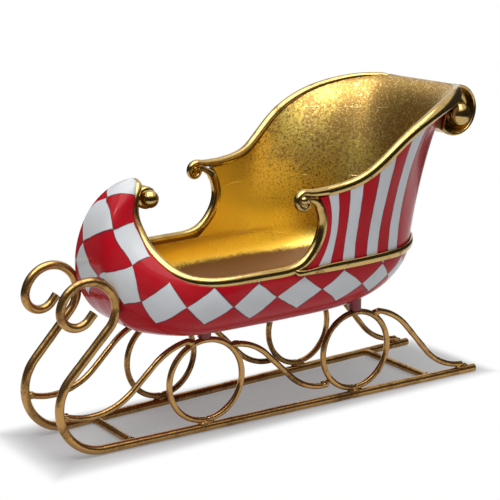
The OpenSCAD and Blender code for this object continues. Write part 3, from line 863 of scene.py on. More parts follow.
def gold_leaf():
    """Sheets of leaf laid side by side, clean in front, with painted shade that darkens the leaf toward the
    top of the back, and painted shade and highlight flecks there.
    """
    material, tree, bsdf = new_material("gold_leaf")
    if tree is None:
        return material
    gold = bpy.context.scene.sleigh_gold
    glint_share, border_share, bare_dullness = 0.7, 0.3, 0.9
    place = tree.nodes.new("ShaderNodeTexCoord").outputs["Object"]
    x, _, z = put(tree, "ShaderNodeSeparateXYZ", {0: place}).outputs
    grain = noise_at(tree, place, 760.0, detail=2.0, rough=0.7)
    flecks = noise_at(tree, place, 430.0, detail=3.0, rough=0.7)
    borders = leaf_borders(tree, place, gold.leaf_size / MM)
    # Painted shade: the leaf darkens with height and toward the rear, through the wax's amount below.
    painted_light_run = sums(tree, "SUBTRACT", z, x)
    wax = use_group(tree, "Rubbed wax", {
        "Bright": tuple(gold.leaf), "Dark": tuple(gold.leaf_painted_shade), "Scale": 22.0,
        "Amount": between(tree, painted_light_run, low=0.27, high=0.46, at_low=0.05, at_high=1.15)})
    # Share of painted speckle, rising with height and toward the rear: dark flecks of painted shade and pale
    # flecks of painted highlight.
    rubbed = between(tree, painted_light_run, low=0.25, high=0.33, at_low=0.05, at_high=0.9)
    painted_shade_spots = sums(tree, "MULTIPLY", ramp(tree, flecks, low=0.52, high=0.60), rubbed)
    # Painted highlight: pale flecks that stand in for the leaf's sparkle, growing toward the top of the back.
    pale = rest_of(tree, ramp(tree, flecks, low=0.36, high=0.44))
    glints = sums(tree, "MULTIPLY", pale, scaled(tree, rubbed, glint_share))
    colour = blend(tree, painted_shade_spots, wax["Color"], tuple(gold.leaf_painted_shade))
    colour = blend(tree, glints, colour, tuple(gold.glint))
    colour = blend(tree, scaled(tree, borders, border_share), colour, tuple(gold.glint))
    bare = bare_floor(tree, x, z, sums(tree, "ADD", grain, wax["Height"]))
    tree.links.new(blend(tree, bare, colour, tuple(gold.floor)), bsdf.inputs["Base Color"])
    tree.links.new(rest_of(tree, scaled(tree, bare, bare_dullness)), bsdf.inputs["Metallic"])
    tree.links.new(between(tree, wax["Mask"], low=0.0, high=1.0, at_low=0.28, at_high=0.40),
                   bsdf.inputs["Roughness"])
    bsdf.inputs["Specular IOR Level"].default_value = 0.15
    height = 0.0
    for layer, share in ((grain, 0.4), (flecks, 0.5), (wax["Height"], 0.4), (borders, 0.3)):
        height = sums(tree, "ADD", scaled(tree, layer, share), height)
    raise_surface(tree, bsdf, height, strength=0.7, distance=0.0007)
    return material


def waxed_finish(name, colours, wax_values, roughness, strength, distance, metallic):
    """A surface with wax in patches. Roughness is one value, or a pair for bare and waxed places."""
    material, tree, bsdf = new_material(name)
    if tree is None:
        return material
    bright, dark = colours
    amount, scale = wax_values
    wax = use_group(tree, "Rubbed wax", {
        "Bright": tuple(bright), "Dark": tuple(dark), "Amount": amount, "Scale": scale})
    tree.links.new(wax["Color"], bsdf.inputs["Base Color"])
    if isinstance(roughness, tuple):
        roughness = between(tree, wax["Mask"], 0.0, 1.0, *roughness)
    link_or_set(tree, bsdf.inputs["Roughness"], roughness)
    raise_surface(tree, bsdf, wax["Height"], strength, distance)
    bsdf.inputs["Metallic"].default_value = metallic
    return material


def gilt_bead():
    """Burnished gilt with dark wax, for beads, rolls, scrolls and balls."""
    gold = bpy.context.scene.sleigh_gold
    return waxed_finish("gilt_bead", (gold.bead, gold.bead_shade), wax_values=(0.45, 55.0),
                        roughness=(0.17, 0.36), strength=0.22, distance=0.0006, metallic=1.0)


def antique_wire():
    """Bronzed iron with brown wax, rubbed bright along the runs."""
    wire = bpy.context.scene.sleigh_wire
    return waxed_finish("antique_wire", (wire.bright, wire.dark), wax_values=(0.55, 32.0),
                        roughness=(0.22, 0.36), strength=0.35, distance=0.0007, metallic=0.9)


def pad_paint():
    """Dark red satin paint on the pads."""
    paint = bpy.context.scene.sleigh_paint
    return waxed_finish("pad_paint", (paint.pad, paint.pad_shade), wax_values=(0.4, 90.0),
                        roughness=0.38, strength=0.4, distance=0.0006, metallic=0.0)


# Pieces

def bent_sheet(places, values, wanted):
    """Values at the wanted places, on the smoothest sheet through the values at some places."""
    def pull(gaps):
        square = np.sum(gaps ** 2, axis=-1)
        return square * np.log(np.maximum(square, TINY))
    count = len(places)
    flat = np.column_stack([np.ones(count), places])
    matrix = np.block([[pull(places[:, None] - places[None]), flat], [flat.T, np.zeros((3, 3))]])
    weights = np.linalg.solve(matrix, np.concatenate([values, np.zeros((3, values.shape[1]))]))
    tilt = np.column_stack([np.ones(len(wanted)), wanted])
    return pull(wanted[:, None] - places[None]) @ weights[:count] + tilt @ weights[count:]


def over_middle(column, station):
    """The diamonds' corners as the other side has them, beyond the prow's or the stern's middle."""
    return LATTICE * (-1, 1, -1, 1) + (2 * column, 0, 2 * station, 0)


def diamond_values(grid):
    """Column and row of the diamond pattern at each point of the hull's outside."""
    stations = np.concatenate([BODY.places, -BODY.places[-2:0:-1]])
    steps = np.linalg.norm(np.diff(grid, axis=1), axis=2)
    depth = np.cumsum(steps[:, ::-1], axis=1)[:, ::-1]
    below = np.concatenate([depth, np.zeros((len(grid), 1))], axis=1)
    prow = over_middle(FIRST_COLUMN, 0)[LATTICE[:, 0] > FIRST_COLUMN]
    stern = over_middle(LAST_COLUMN, STATIONS)[LATTICE[:, 0] < LAST_COLUMN]
    drawn = {tuple(corner[:2]) for corner in LATTICE}
    prow = prow[[tuple(corner[:2]) not in drawn for corner in prow]]
    known = np.concatenate([prow, LATTICE, stern[stern[:, 2] < STATIONS + PAST_STERN]])
    places = known[:, 2:] * (STATION_RUN, 1)
    wanted = np.stack([np.broadcast_to(stations[:, None] * STATION_RUN, below.shape), below], axis=2)
    rows = [bent_sheet(places, known[:, :2], line) for line in wanted]
    return np.concatenate([np.array(rows), np.zeros(below.shape + (1,))], axis=2)


def floor_strips(loop):
    """Rows of points across the flat floor, from the left foot line to the right one."""
    half = BODY.half
    left = loop[:half + 1]
    right = np.concatenate([loop[:1], loop[:half - 1:-1]])
    share = np.linspace(0, 1, FLOOR_STRIPS + 1)[None, :, None]
    sheet = left[:, None] * (1 - share) + right[:, None] * share
    sheet[:, :, 2] = loop[0, 2]
    return sheet


def make_hull():
    """Painted shell of the hull with its flat bottom."""
    shape = Shape()
    outside, inside = BODY.hull, BODY.hull_inside(PAINT_WALL)
    values = diamond_values(outside)
    shape.grid(outside, closed=True, values=values)
    shape.grid(inside, closed=True, inward=True)
    shape.ribbon(outside[:, -1], inside[:, -1], closed=True, values=values[:, -1])
    plain_red = np.array([0, 2 * LOWEST_ROW, 0])
    for loop, flipped in ((outside[:, 0], True), (inside[:, 0], False)):
        sheet = floor_strips(loop)
        shape.grid(sheet, inward=flipped, values=np.broadcast_to(plain_red, sheet.shape))
    shape.build("hull_shell", harlequin_paint(), ["hull"], "paint")


def stripe_values(grid):
    """Stripe number and height at each point of the back's outside."""
    paint = bpy.context.scene.sleigh_paint
    line = grid[:, STRIPE_ROW]
    middle = len(line) // 2
    run = np.concatenate([[0], np.cumsum(np.linalg.norm(np.diff(line, axis=0), axis=1))])
    from_middle = np.abs(run - run[middle]) / (paint.stripe / MM)
    number = np.interp(from_middle + 0.5, EVEN_STRIPES, PAINTED_STRIPES)
    number = np.broadcast_to(number[:, None], grid.shape[:2])
    height = np.broadcast_to(np.linspace(0, 1, grid.shape[1]), grid.shape[:2])
    return np.stack([number, height, np.zeros_like(height)], axis=2)


def close_sheet(shape, outside, inside, values, low=True):
    """Adds the edges between two sheets of the back."""
    shape.ribbon(outside[:, -1], inside[:, -1], values=values[:, -1])
    if low:
        shape.ribbon(inside[:, 0], outside[:, 0], values=values[:, 0])
    shape.ribbon(inside[0], outside[0], values=values[0])
    shape.ribbon(outside[-1], inside[-1], values=values[-1])


def make_seat_back():
    """Striped shell of the back with its wings."""
    shape = Shape()
    outside, inside = BODY.back, BODY.back_inside(PAINT_WALL)
    values = stripe_values(outside)
    shape.grid(outside, values=values)
    shape.grid(inside, inward=True, values=values)
    close_sheet(shape, outside, inside, values)
    shape.build("back_shell", striped_paint(), ["seat_back"], "paint", flat_angle=50)


def leaf_values(grid):
    """Run along and up each point of the lining, in millimetres, for the sheets of leaf."""
    along = np.linalg.norm(np.roll(grid, -1, 0) - grid, axis=2).mean(axis=1)
    up = np.linalg.norm(np.diff(grid, axis=1), axis=2)
    run = np.concatenate([[0], np.cumsum(along[:-1])])
    rise = np.concatenate([np.zeros((len(grid), 1)), np.cumsum(up, axis=1)], axis=1)
    return np.stack([np.broadcast_to(run[:, None], rise.shape), rise, np.zeros_like(rise)], axis=2)


def make_lining():
    """The gilded inside of hull and back, one bucket with no seam between them."""
    shape = Shape()
    first, last = BODY.first, BODY.last
    inner, under = BODY.hull_inside(WALL), BODY.hull_inside(PAINT_WALL + LINING_AIR)
    shape.grid(inner, closed=True, inward=True, values=leaf_values(inner))
    shape.grid(under, closed=True)
    for part in (slice(0, first + 1), slice(last, None)):
        shape.ribbon(under[part, -1], inner[part, -1])
    shape.ribbon(under[[-1, 0], -1], inner[[-1, 0], -1])
    for loop, flipped in ((inner[:, 0], False), (under[:, 0], True)):
        shape.grid(floor_strips(loop), inward=flipped)
    inner_back, under_back = BODY.back_inside(WALL), BODY.back_inside(PAINT_WALL + LINING_AIR)
    values = leaf_values(inner_back)
    values[..., 1] += BACK_LEAF_START
    shape.grid(inner_back, inward=True, values=values)
    shape.grid(under_back)
    close_sheet(shape, under_back, inner_back, values, low=False)
    shape.build("gold_lining", gold_leaf(), flat_angle=50)


def edge_frames(outside, inside):
    """Middle, across and away of a bead on the edge between two lines of points."""
    across = unit(outside - inside)
    along = np.gradient((outside + inside) / 2, axis=0)
    away = unit(np.cross(across, along))
    return (outside + inside) / 2, across, away


def even_frames(rows, times):
    """Smooths a run of bead frames and squares their directions again."""
    path, across, away = (smoothed(r, times) for r in rows)
    across = unit(across)
    away = unit(away - across * np.sum(away * across, axis=1, keepdims=True))
    return path, across, away


def grown(frames, sizes):
    """Frames whose across and away carry the size of the bead at each place."""
    path, across, away = frames
    return path - BEAD_SINK * away, across * sizes[:, None], away * sizes[:, None]


def joined(one, two):
    """Two runs of bead frames, one after the other."""
    return [np.concatenate(pair) for pair in zip(one, two)]


def rim_frames():
    """Bead along the hull's rim from the prow, then up the arm's front edge to the volute."""
    last = BODY.first
    rim = edge_frames(BODY.hull[:last, -1], BODY.hull_inside(WALL)[:last, -1])
    run = slice(ARM_FROM, BODY.back_strips - ARM_SHORT)
    arm = edge_frames(BODY.back[0, run], BODY.back_inside(WALL)[0, run])
    frames = even_frames(joined(rim, arm), RIM_EVENING)
    end = frames[0][-1]
    ahead = unit(end - frames[0][-1 - TAIL_REACH])
    goal = volute_frames()[0][-1] - TAIL_BEHIND
    pulls = (end, end + TAIL_AHEAD * ahead, goal - TAIL_TURN, goal)
    tip = bezier_rows(*(p[None] for p in pulls), np.linspace(0, 1, TAIL_STEPS)[1:])[0]
    tail = (tip, *(np.repeat(rows[-1:], len(tip), 0) for rows in frames[1:]))
    path, across, _ = even_frames(joined(frames, tail), TAIL_EVENING)
    away = unit(np.cross(across, np.gradient(path, axis=0)))
    sizes = np.ones(len(path))
    sizes[:last] = np.minimum(1, PROW_BEAD + PROW_BEAD_GROWTH * np.linspace(0, ARM_STATION, last))
    sizes[-len(tip):] = np.linspace(1, TAIL_END, len(tip))
    return grown((path, across, away), sizes)


def sweep_bead(stem, frames):
    """A gilt bead carried along its frames, on both sides."""
    left = Shape()
    left.sweep(*frames, BEAD * (BEAD_W, BEAD_H + BEAD_SINK))
    left.build_pair(stem, "_gilt", gilt_bead(), flat_angle=60)


def wing_frames():
    """Bead along the top of the wing, thinned away where it runs out over the roll."""
    inner = BODY.back_inside(WALL)
    top = BODY.back[:, -1]
    first = round(BODY.half / STATIONS * WING_FROM)
    last_y = ROLL_HALF - INTO_ROLL
    count = int(np.sum(top[:len(top) // 2, 1] > last_y))
    path, across, away = even_frames(edge_frames(top[first:count], inner[first:count, -1]), WING_EVENING)
    fade = eased(np.clip((path[:, 1] - last_y) / FADE_RUN, 0, 1))
    widen = eased(np.clip((FLARE_X - path[:, 0]) / FLARE_RUN, 0, 1))
    lower = np.clip((ROLL_HALF + LOWER_FROM - path[:, 1]) / LOWER_RUN, 0, 1)
    across = across * (1 + FLARE_WIDER * widen)[:, None]
    return grown((path, across, away), (1 - FLARE_LOWER * lower) * taper((FADED, 1), fade))


def volute_frames():
    """The wing's bead run on forward and wound into its own middle."""
    path, _, away = wing_frames()
    x, y, z = path[0] + away[0] * (BEAD_H + BEAD_SINK) / 2
    start = np.array([x, z])
    share = np.linspace(0, 1, COIL_STEPS)
    turn = np.radians(VOLUTE_FIRST - VOLUTE_TURN * share)
    out = np.column_stack([np.cos(turn), np.sin(turn)])
    coil = start + VOLUTE_MIDDLE + out * (VOLUTE_R * taper((1, VOLUTE_END), share))[:, None]
    ahead = np.array([math.sin(turn[0]), -math.cos(turn[0])])
    lead = np.linspace(0, 1, LEAD_STEPS)[:-1]
    pulls = (start - LEAD_BACK, start + LEAD_PULL, coil[0] - ahead * LEAD_LAST, coil[0])
    flat = np.concatenate([bezier_rows(*(p[None] for p in pulls), lead)[0], coil])
    facing = unit(np.concatenate([taper((np.array([0, 1]), out[0]), lead[:, None]), out]))
    high = np.concatenate([taper(LEAD_HIGH, lead), taper(COIL_HIGH, share)])
    wide = np.concatenate([taper(LEAD_WIDE, lead), taper(COIL_WIDE, share)])
    none = np.zeros(len(flat))
    side = y + np.concatenate([np.zeros(len(lead)), VOLUTE_OUT * share])
    across = np.column_stack([none, -wide, none])
    away = np.column_stack([facing[:, 0] * high, none, facing[:, 1] * high])
    return np.column_stack([flat[:, 0], side, flat[:, 1]]), across, away


def make_belt():
    """Moulding on the belt line, with a thin lead under the rim's bead at each end."""
    start, end = BODY.first - BELT_LEAD, BODY.last + BELT_LEAD + 1
    line, out = BODY.hull[start:end, -1], BODY.hull_normals[start:end, -1]
    down = unit(BODY.back[:, 0] - BODY.back[:, BELT_SLOPE_ROW])
    down = np.pad(down, ((BELT_LEAD, BELT_LEAD), (0, 0)), mode="edge")
    sizes = np.ones((len(line), 1))
    sizes[:BELT_LEAD, 0] = np.linspace(*BELT_LEAD_SIZES, BELT_LEAD)
    sizes[-BELT_LEAD:] = sizes[BELT_LEAD - 1::-1]
    path = line + BELT_AIR * out - (BELT_LIFT + LEAD_LIFT * (1 - sizes)) * down
    shape = Shape()
    shape.sweep(path, down * sizes, out * sizes, BEAD * (BELT_H / 2, BELT_OUT))
    shape.build("belt_gilt", gilt_bead(), ["belt_moulding"], flat_angle=60)


def ball_profile(radius, cut):
    """Half outline of a ball that stands on a flat cut below its middle."""
    a = np.linspace(math.asin(-cut / radius), math.pi / 2, BALL_STEPS)
    outline = [[AXIS_R, -cut]] + [[radius * math.cos(x), radius * math.sin(x)] for x in a]
    outline[-1][0] = AXIS_R
    return outline


SIDEWAYS = (np.array([0, 0, 1]), np.array([1, 0, 0]), np.array([0, 1, 0]))
UPRIGHT = (np.array([1, 0, 0]), np.array([0, 1, 0]), np.array([0, 0, 1]))


def make_back_roll():
    """Roll behind the top of the back, with lipped and dished ends and a ball in each."""
    face = BODY.back[len(BODY.back) // 2]
    face = face[np.argsort(face[:, 2])]
    turn = np.linspace(math.pi / 2, math.pi / 2 + 2 * math.pi, ROLL_SIDES + 1)[:-1]
    centre = np.array([ROLL_X, ROLL_Z])
    outline = centre + ROLL_R * np.column_stack([np.cos(turn), np.sin(turn)])
    wall_x = np.interp(outline[:, 1], face[:, 2], face[:, 0])
    outline[:, 0] = np.minimum(outline[:, 0], wall_x + ROLL_OVERLAP)
    lip = np.clip(1 - LIP_FADE * np.sin(turn), 0, 1)[:, None]
    left_end = [(share, ROLL_HALF + reach) for share, reach in ROLL_END]
    rings = []
    for share, y in [(share, -y) for share, y in left_end[::-1]] + left_end:
        flat = centre + (outline - centre) * np.where(share > 1, 1 + (share - 1) * lip, share)
        rings.append(np.column_stack([flat[:, 0], np.full(len(flat), y), flat[:, 1]]))
    shape = Shape()
    shape.grid(np.stack(rings, 1), closed=True)
    shape.build("back_roll_gilt", gilt_bead(), ["back_roll"], flat_angle=60)
    ball = Shape()
    place = [BACK_BALL_X, ROLL_HALF - DISH + BACK_BALL_CUT, BACK_BALL_Z]
    ball.lathe(ball_profile(BACK_BALL_R, BACK_BALL_CUT), BALL_SIDES, place, SIDEWAYS)
    ball.build_pair("back_ball", "_gilt", gilt_bead(), flat_angle=60)


def make_prow_roll():
    """Small roll inside the prow's curl, with a ball at each end."""
    low, high = (np.array(c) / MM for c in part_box("prow_roll"))
    centre = (low + high) / 2
    half, r, edge = PROW_ROLL_HALF, PROW_ROLL_R, PROW_ROLL_ROUND
    end = [[r, half - edge], [r - edge, half], [AXIS_R, half]]
    outline = [[radius, -y] for radius, y in end[::-1]] + end
    shape = Shape()
    shape.lathe(outline, PROW_ROLL_SIDES, centre, SIDEWAYS)
    shape.build("prow_roll_gilt", gilt_bead(), ["prow_roll"], flat_angle=50)
    ball = Shape()
    place = centre + (0, half + PROW_BALL_CUT, 0)
    ball.lathe(ball_profile(PROW_BALL_R, PROW_BALL_CUT), BALL_SIDES, place, SIDEWAYS)
    ball.build_pair("prow_ball", "_gilt", gilt_bead(), flat_angle=60)


def make_arm_scrolls():
    """Volutes where the arm's two beads meet, each with an eye and a thin web inside its coil."""
    path, across, away = volute_frames()
    left = Shape()
    left.sweep(path, across, away, round_section(COIL_SIDES))
    left.grid(path[-1] - VOLUTE_IN + ball_grid() * VOLUTE_EYE, closed=True)
    middle = path[-1] - unit(away[-1]) * VOLUTE_R * VOLUTE_END - VOLUTE_IN
    left.grid(middle + ball_grid() * VOLUTE_WEB, closed=True)
    left.build_pair("arm_scroll", "_gilt", gilt_bead(), flat_angle=55)


# Undercarriage, drawn in the plane of the left side

def in_side(points):
    """Points [x, z] of the left side's plane, placed in the sleigh."""
    dx = points[:, 0] - REAR_RING_X
    return np.column_stack([
        REAR_RING_X + dx * math.cos(TOE_IN), REAR_HALF - dx * math.sin(TOE_IN), points[:, 1]])


SIDE_AXIS = np.array([math.sin(TOE_IN), math.cos(TOE_IN), 0.0])


def half_at(x):
    """Half of the distance between the two sides at a place along the sleigh."""
    return REAR_HALF - (x - REAR_RING_X) * math.tan(TOE_IN)


def arc(centre, r, first, last):
    """Points on a bend, from one angle in degrees to another."""
    count = max(int(abs(math.radians(last - first)) * r / ARC_STEP), 3)
    a = np.radians(np.linspace(first, last, count + 1))
    return np.column_stack([centre[0] + r * np.cos(a), centre[1] + r * np.sin(a)])


def rod(shape, path, diameter, seed, sides=WIRE_SIDES):
    """Adds a rod along a line in the side's plane, a little uneven, with rounded cut ends."""
    wavy = bpy.context.scene.sleigh_wire.waviness / MM
    placed = in_side(path)
    along = unit(np.gradient(placed, axis=0))
    away = unit(np.cross(along, SIDE_AXIS))
    swell = [noise.noise(Vector((p[0] * WAVES, seed * WAVE_SHIFT, p[2] * WAVES))) for p in placed]
    r = diameter / 2 + wavy * np.array(swell)
    for k, share in enumerate(ROD_END):
        r[k] *= share
        r[-1 - k] *= share
    across = np.broadcast_to(SIDE_AXIS, placed.shape) * r[:, None]
    shape.sweep(placed, across, away * r[:, None], round_section(sides))


def ends_tight(path):
    """Adds two points close to each end so that the end is rounded over a short length."""
    near = np.array([[0], [ROD_END_RUN / 2], [ROD_END_RUN]])
    head = path[0] + (path[1] - path[0]) * near
    tail = path[-1] + (path[-2] - path[-1]) * near[::-1]
    return np.concatenate([head, path[1:-1], tail])


def runner_path():
    """Straight rod, front bend, slanting neck, scroll and curl."""
    neck = SCROLL - NOSE
    lean = math.asin((NOSE_R + SCROLL_R) / np.linalg.norm(neck))
    heading = math.degrees(math.atan2(neck[1], neck[0]) + lean)
    turn = math.radians(CURL_FROM)
    curl = SCROLL + (SCROLL_R - CURL_R) * np.array([math.cos(turn), math.sin(turn)])
    z = RUNNER_D / 2
    straight = resampled(np.array([[RUNNER_REAR, z], [NOSE[0], z]]), STRAIGHT_STEP)
    nose = arc(NOSE, NOSE_R, -90, heading - 90)
    scroll = arc(SCROLL, SCROLL_R, heading + 90, CURL_FROM)
    end = arc(curl, CURL_R, CURL_FROM, CURL_TO)
    last = math.radians(CURL_TO)
    tip = end[-1] + CURL_TIP * np.array([[math.sin(last), -math.cos(last)]])
    path = np.concatenate([straight, nose[1:], scroll, end[1:], tip])
    return ends_tight(resampled(path, ROD_STEP))


def make_runners():
    """Runners with their scrolls."""
    left = Shape()
    rod(left, runner_path(), RUNNER_LOOK_D, RUNNER_SEED, RUNNER_SIDES)
    left.build_pair("runner", "_wire", antique_wire(), "wire", flat_angle=50)


def make_rings():
    """Rings that stand on the runners."""
    for name, x in RINGS:
        left = Shape()
        rod(left, arc((x, RING_Z), RING_R, -90, 270), WIRE_D, RING_SEED + x)
        left.build_pair(f"ring_{name}", "_wire", antique_wire(), "wire")


def brace_path(x0, z0, a0, mid, x1, z1, a1):
    """Two equal and opposite bends with a straight middle."""
    def step(a, b):
        a, b = math.radians(a), math.radians(b)
        return np.array([math.sin(b) - math.sin(a), math.cos(a) - math.cos(b)])

    def det(p, q):
        return p[0] * q[1] - p[1] * q[0]

    start, end = np.array([x0, z0]), np.array([x1, z1])
    one, two = step(a0, mid), step(mid, a1)
    way = np.array([math.cos(math.radians(mid)), math.sin(math.radians(mid))])
    r = det(end - start, way) / det(one - two, way)
    low = start + r * np.array([-math.sin(math.radians(a0)), math.cos(math.radians(a0))])
    high = end - r * np.array([-math.sin(math.radians(a1)), math.cos(math.radians(a1))])
    turn = -90 if r > 0 else 90
    first = arc(low, abs(r), a0 + turn, mid + turn)
    second = arc(high, abs(r), mid - turn, a1 - turn)
    return ends_tight(resampled(np.concatenate([first, second]), ROD_STEP))


def make_braces():
    """S-shaped braces between body, rings and runners."""
    for name, *numbers in BRACES:
        left = Shape()
        rod(left, brace_path(*numbers), WIRE_D, len(name))
        left.build_pair(f"brace_{name}", "_wire", antique_wire(), "wire", flat_angle=50)


def make_crossbars():
    """Bars between the runners, a little uneven."""
    for name, x in BARS:
        reach = half_at(x) - RUNNER_D / 2 + BAR_OVERLAP
        y = np.linspace(-reach, reach, BAR_STEPS)
        swell = np.array([noise.noise(Vector((v * BAR_WAVES, x, 0))) for v in y])
        r = BAR_D / 2 + BAR_WAVINESS * swell
        none = np.zeros_like(r)
        path = np.column_stack([np.full_like(y, x), y, np.full_like(y, RUNNER_D / 2)])
        across = np.column_stack([r, none, none])
        away = np.column_stack([none, none, r])
        shape = Shape()
        shape.sweep(path, across, away, round_section(WIRE_SIDES))
        shape.build(f"crossbar_{name}_wire", antique_wire(), [f"crossbar_{name}"], "wire", flat_angle=50)


def make_pads():
    """Soft-edged pads between the rings and the bottom."""
    for name, _ in RINGS:
        low, high = (np.array(c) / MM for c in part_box(f"pad_{name}_left"))
        base, top = low[2] - PAD_SINK, high[2] + PAD_RISE
        foot = [[AXIS_R, base]] + [[PAD_R + wider, base + rise] for wider, rise in PAD_FOOT]
        head = [[PAD_R + wider, top - drop] for wider, drop in PAD_HEAD] + [[AXIS_R, top]]
        middle = [(low[0] + high[0]) / 2, (low[1] + high[1]) / 2, 0]
        left = Shape()
        left.lathe(foot + head, PAD_SIDES, middle, UPRIGHT)
        left.build_pair(f"pad_{name}", "_painted", pad_paint(), "pad", flat_angle=70)


def ball_grid():
    """Points on a unit ball, as a grid with its poles at the ends."""
    up = np.linspace(-math.pi / 2 + POLE_GAP, math.pi / 2 - POLE_GAP, SMALL_BALL_ROWS)
    turn = np.linspace(0, 2 * math.pi, SMALL_BALL_SIDES, endpoint=False)
    x, y = (side[:, None] * np.cos(up)[None] for side in (np.cos(turn), np.sin(turn)))
    return np.stack([x, y, np.broadcast_to(np.sin(up)[None], x.shape)], 2)


def make_welds():
    """Lumpy welds where the wire meets the runners, rings and bars."""
    left = Shape()
    places = [(in_side(np.array([[x, z]]))[0], size) for x, z, *size in WELDS]
    for _, x in BARS:
        places.append((np.array([x, half_at(x) - RUNNER_D / 2 - BAR_WELD_IN, RUNNER_D / 2]), BAR_WELD))
    ball = ball_grid()
    for place, size in places:
        lump = [[noise.noise(Vector(p * LUMPS) + Vector(place)) for p in row] for row in ball]
        swell = 1 + LUMP_HEIGHT * np.array(lump)[..., None]
        left.grid(place + ball * np.array(size) * swell, closed=True)
    left.build_pair("welds", "", antique_wire(), "wire", stands_for=False)


# Stage

def make_floor():
    """Pale floor that keeps the shadow near the sleigh and fades to white further out. Between the runners a
    flat grey glow makes up more than half of what the camera and reflections see there: a painted shadow.
    """
    bpy.ops.mesh.primitive_plane_add(size=FLOOR_SIZE)
    floor = bpy.context.object
    floor.name = "floor"
    material, tree, bsdf = new_material("pale_floor")
    bsdf.inputs["Base Color"].default_value = (*FLOOR_COLOR, 1)
    bsdf.inputs["Roughness"].default_value = 0.7
    bsdf.inputs["Specular IOR Level"].default_value = 0.15
    spot = tree.nodes.new("ShaderNodeTexCoord").outputs["Object"]
    x, y, _ = put(tree, "ShaderNodeSeparateXYZ", {0: spot}).outputs
    past_end = sums(tree, "SUBTRACT", sums(tree, "ABSOLUTE", x), -RUNNER_REAR * MM)
    past_side = sums(tree, "SUBTRACT", sums(tree, "ABSOLUTE", y), REAR_HALF * MM)
    away = ramp(tree, sums(tree, "MAXIMUM", past_end, past_side), *PAINTED_SHADOW_EDGE)
    # Painted shadow: grey glow between the runners, white glow further out.
    glow = put(tree, "ShaderNodeEmission", {"Color": blend(tree, away, PAINTED_SHADOW_COLOR, (1, 1, 1))})
    path = tree.nodes.new("ShaderNodeLightPath").outputs
    seen = sums(tree, "MAXIMUM", path["Is Camera Ray"], path["Is Glossy Ray"])
    share = sums(tree, "MULTIPLY", sums(tree, "MAXIMUM", away, PAINTED_SHADOW_SHARE), seen)
    mix = put(tree, "ShaderNodeMixShader", {0: share, 1: bsdf.outputs[0], 2: glow.outputs[0]})
    tree.links.new(mix.outputs[0], tree.nodes["Material Output"].inputs["Surface"])
    floor.data.materials.append(material)


def make_lamp(name, place, size, power):
    """A square soft box that points at the sleigh."""
    data = bpy.data.lights.new(name, "AREA")
    data.shape = "RECTANGLE"
    data.size, data.size_y, data.energy = size, size, power
    lamp = bpy.data.objects.new(name, data)
    lamp.location = place
    lamp.rotation_euler = (Vector(LIT_POINT) - Vector(place)).to_track_quat("-Z", "Y").to_euler()
    bpy.context.scene.collection.objects.link(lamp)


def make_collar():
    """A dark wall round the sleigh, open on the far side, that shows only as a reflection."""
    turn = np.radians(np.linspace(*COLLAR_TURN, COLLAR_STEPS + 1))
    ring = np.column_stack([COLLAR_X * np.cos(turn), COLLAR_Y * np.sin(turn)])
    points = [(x, y, z) for z in (COLLAR_FOOT, COLLAR_TOP) for x, y in ring]
    above = COLLAR_STEPS + 1
    mesh = bpy.data.meshes.new("collar")
    mesh.from_pydata(points, [], [(k, k + 1, k + 1 + above, k + above) for k in range(COLLAR_STEPS)])
    material, _, bsdf = new_material("dark_card")
    bsdf.inputs["Base Color"].default_value = (*COLLAR_COLOR, 1)
    bsdf.inputs["Roughness"].default_value = 0.9
    mesh.materials.append(material)
    collar = bpy.data.objects.new("collar", mesh)
    bpy.context.scene.collection.objects.link(collar)
    collar.visible_camera = collar.visible_diffuse = collar.visible_shadow = False


def make_world():
    """Even light from all round, on a background that is white to the camera and in reflections."""
    settings = bpy.context.scene.sleigh_stage
    world = bpy.data.worlds.new("studio")
    world.use_nodes = True
    tree = world.node_tree
    path = tree.nodes.new("ShaderNodeLightPath").outputs
    seen = sums(tree, "MAXIMUM", path["Is Camera Ray"],
                sums(tree, "MAXIMUM", path["Is Glossy Ray"], path["Is Transmission Ray"]))
    strength = between(tree, seen, 0.0, 1.0, settings.ambient, 1.0)
    background = tree.nodes["Background"]
    background.inputs["Color"].default_value = (1, 1, 1, 1)
    tree.links.new(strength, background.inputs["Strength"])
    bpy.context.scene.world = world


def make_camera():
    """Camera at the photograph's place."""
    settings = bpy.context.scene.sleigh_stage
    data = bpy.data.cameras.new("camera")
    data.lens, data.sensor_width = settings.lens, SENSOR
    camera = bpy.data.objects.new("camera", data)
    place, target = Vector(settings.camera), Vector(settings.target)
    camera.location = place
    camera.rotation_euler = (target - place).to_track_quat("-Z", "Y").to_euler()
    bpy.context.scene.collection.objects.link(camera)
    bpy.context.scene.camera = camera


def make_stage():
    """Floor, light, dark wall and camera."""
    settings = bpy.context.scene.sleigh_stage
    bpy.context.scene.view_settings.view_transform = "Standard"
    make_floor()
    make_world()
    make_lamp("top_box", TOP_PLACE, TOP_SIZE, settings.top_power)
    make_lamp("key_box", KEY_PLACE, KEY_SIZE, settings.key_power)
    make_collar()
    make_camera()


# Operators

class SLEIGH_OT_hull(bpy.types.Operator):
    """Build the painted hull with its diamonds"""

    bl_idname = "sleigh.hull"
    bl_label = "Hull"

    def execute(self, context):
        make_hull()
        return {"FINISHED"}


class SLEIGH_OT_seat_back(bpy.types.Operator):
    """Build the striped back with its wings"""

    bl_idname = "sleigh.seat_back"
    bl_label = "Back"

    def execute(self, context):
        make_seat_back()
        return {"FINISHED"}


class SLEIGH_OT_lining(bpy.types.Operator):
    """Build the gilded inside"""

    bl_idname = "sleigh.lining"
    bl_label = "Gold lining"

    def execute(self, context):
        make_lining()
        return {"FINISHED"}


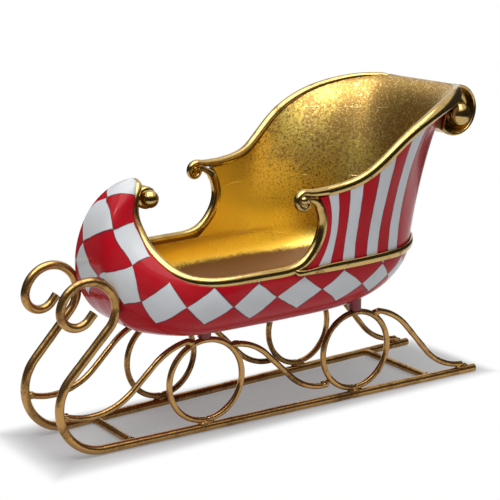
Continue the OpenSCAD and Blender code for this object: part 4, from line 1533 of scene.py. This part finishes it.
class SLEIGH_OT_beads(bpy.types.Operator):
    """Build the gilt beads on the rim, the wings and the belt"""

    bl_idname = "sleigh.beads"
    bl_label = "Beads"

    def execute(self, context):
        sweep_bead("rim_bead", rim_frames())
        sweep_bead("wing_bead", wing_frames())
        make_belt()
        return {"FINISHED"}


class SLEIGH_OT_rolls(bpy.types.Operator):
    """Build the rolls, balls and arm volutes"""

    bl_idname = "sleigh.rolls"
    bl_label = "Rolls and scrolls"

    def execute(self, context):
        make_back_roll()
        make_prow_roll()
        make_arm_scrolls()
        return {"FINISHED"}


class SLEIGH_OT_undercarriage(bpy.types.Operator):
    """Build the runners, rings, braces, bars, pads and welds"""

    bl_idname = "sleigh.undercarriage"
    bl_label = "Undercarriage"

    def execute(self, context):
        make_runners()
        make_rings()
        make_braces()
        make_crossbars()
        make_pads()
        make_welds()
        return {"FINISHED"}


class SLEIGH_OT_stage(bpy.types.Operator):
    """Set up the floor, the lamps and the camera"""

    bl_idname = "sleigh.stage"
    bl_label = "Stage"

    def execute(self, context):
        make_stage()
        return {"FINISHED"}


PIECES = (
    SLEIGH_OT_stage, SLEIGH_OT_hull, SLEIGH_OT_seat_back, SLEIGH_OT_lining,
    SLEIGH_OT_beads, SLEIGH_OT_rolls, SLEIGH_OT_undercarriage,
)


class SLEIGH_PT_panel(bpy.types.Panel):
    """Lists the sleigh's pieces in the sidebar"""

    bl_label = "Sleigh"
    bl_idname = "SLEIGH_PT_panel"
    bl_space_type = "VIEW_3D"
    bl_region_type = "UI"
    bl_category = "Sleigh"

    def draw(self, context):
        for operator in PIECES:
            self.layout.operator(operator.bl_idname)


SETTINGS = (
    ("sleigh_paint", SleighPaint), ("sleigh_gold", SleighGold),
    ("sleigh_wire", SleighWire), ("sleigh_stage", SleighStage),
)


def register():
    for name, kind in SETTINGS:
        bpy.utils.register_class(kind)
        setattr(bpy.types.Scene, name, PointerProperty(type=kind))
    for kind in (*PIECES, SLEIGH_PT_panel):
        bpy.utils.register_class(kind)


def unregister():
    for kind in reversed((*PIECES, SLEIGH_PT_panel)):
        bpy.utils.unregister_class(kind)
    for name, kind in reversed(SETTINGS):
        delattr(bpy.types.Scene, name)
        bpy.utils.unregister_class(kind)


def main():
    register()
    for operator in PIECES:
        group, name = operator.bl_idname.split(".")
        getattr(getattr(bpy.ops, group), name)()


if __name__ == "__main__":
    main()
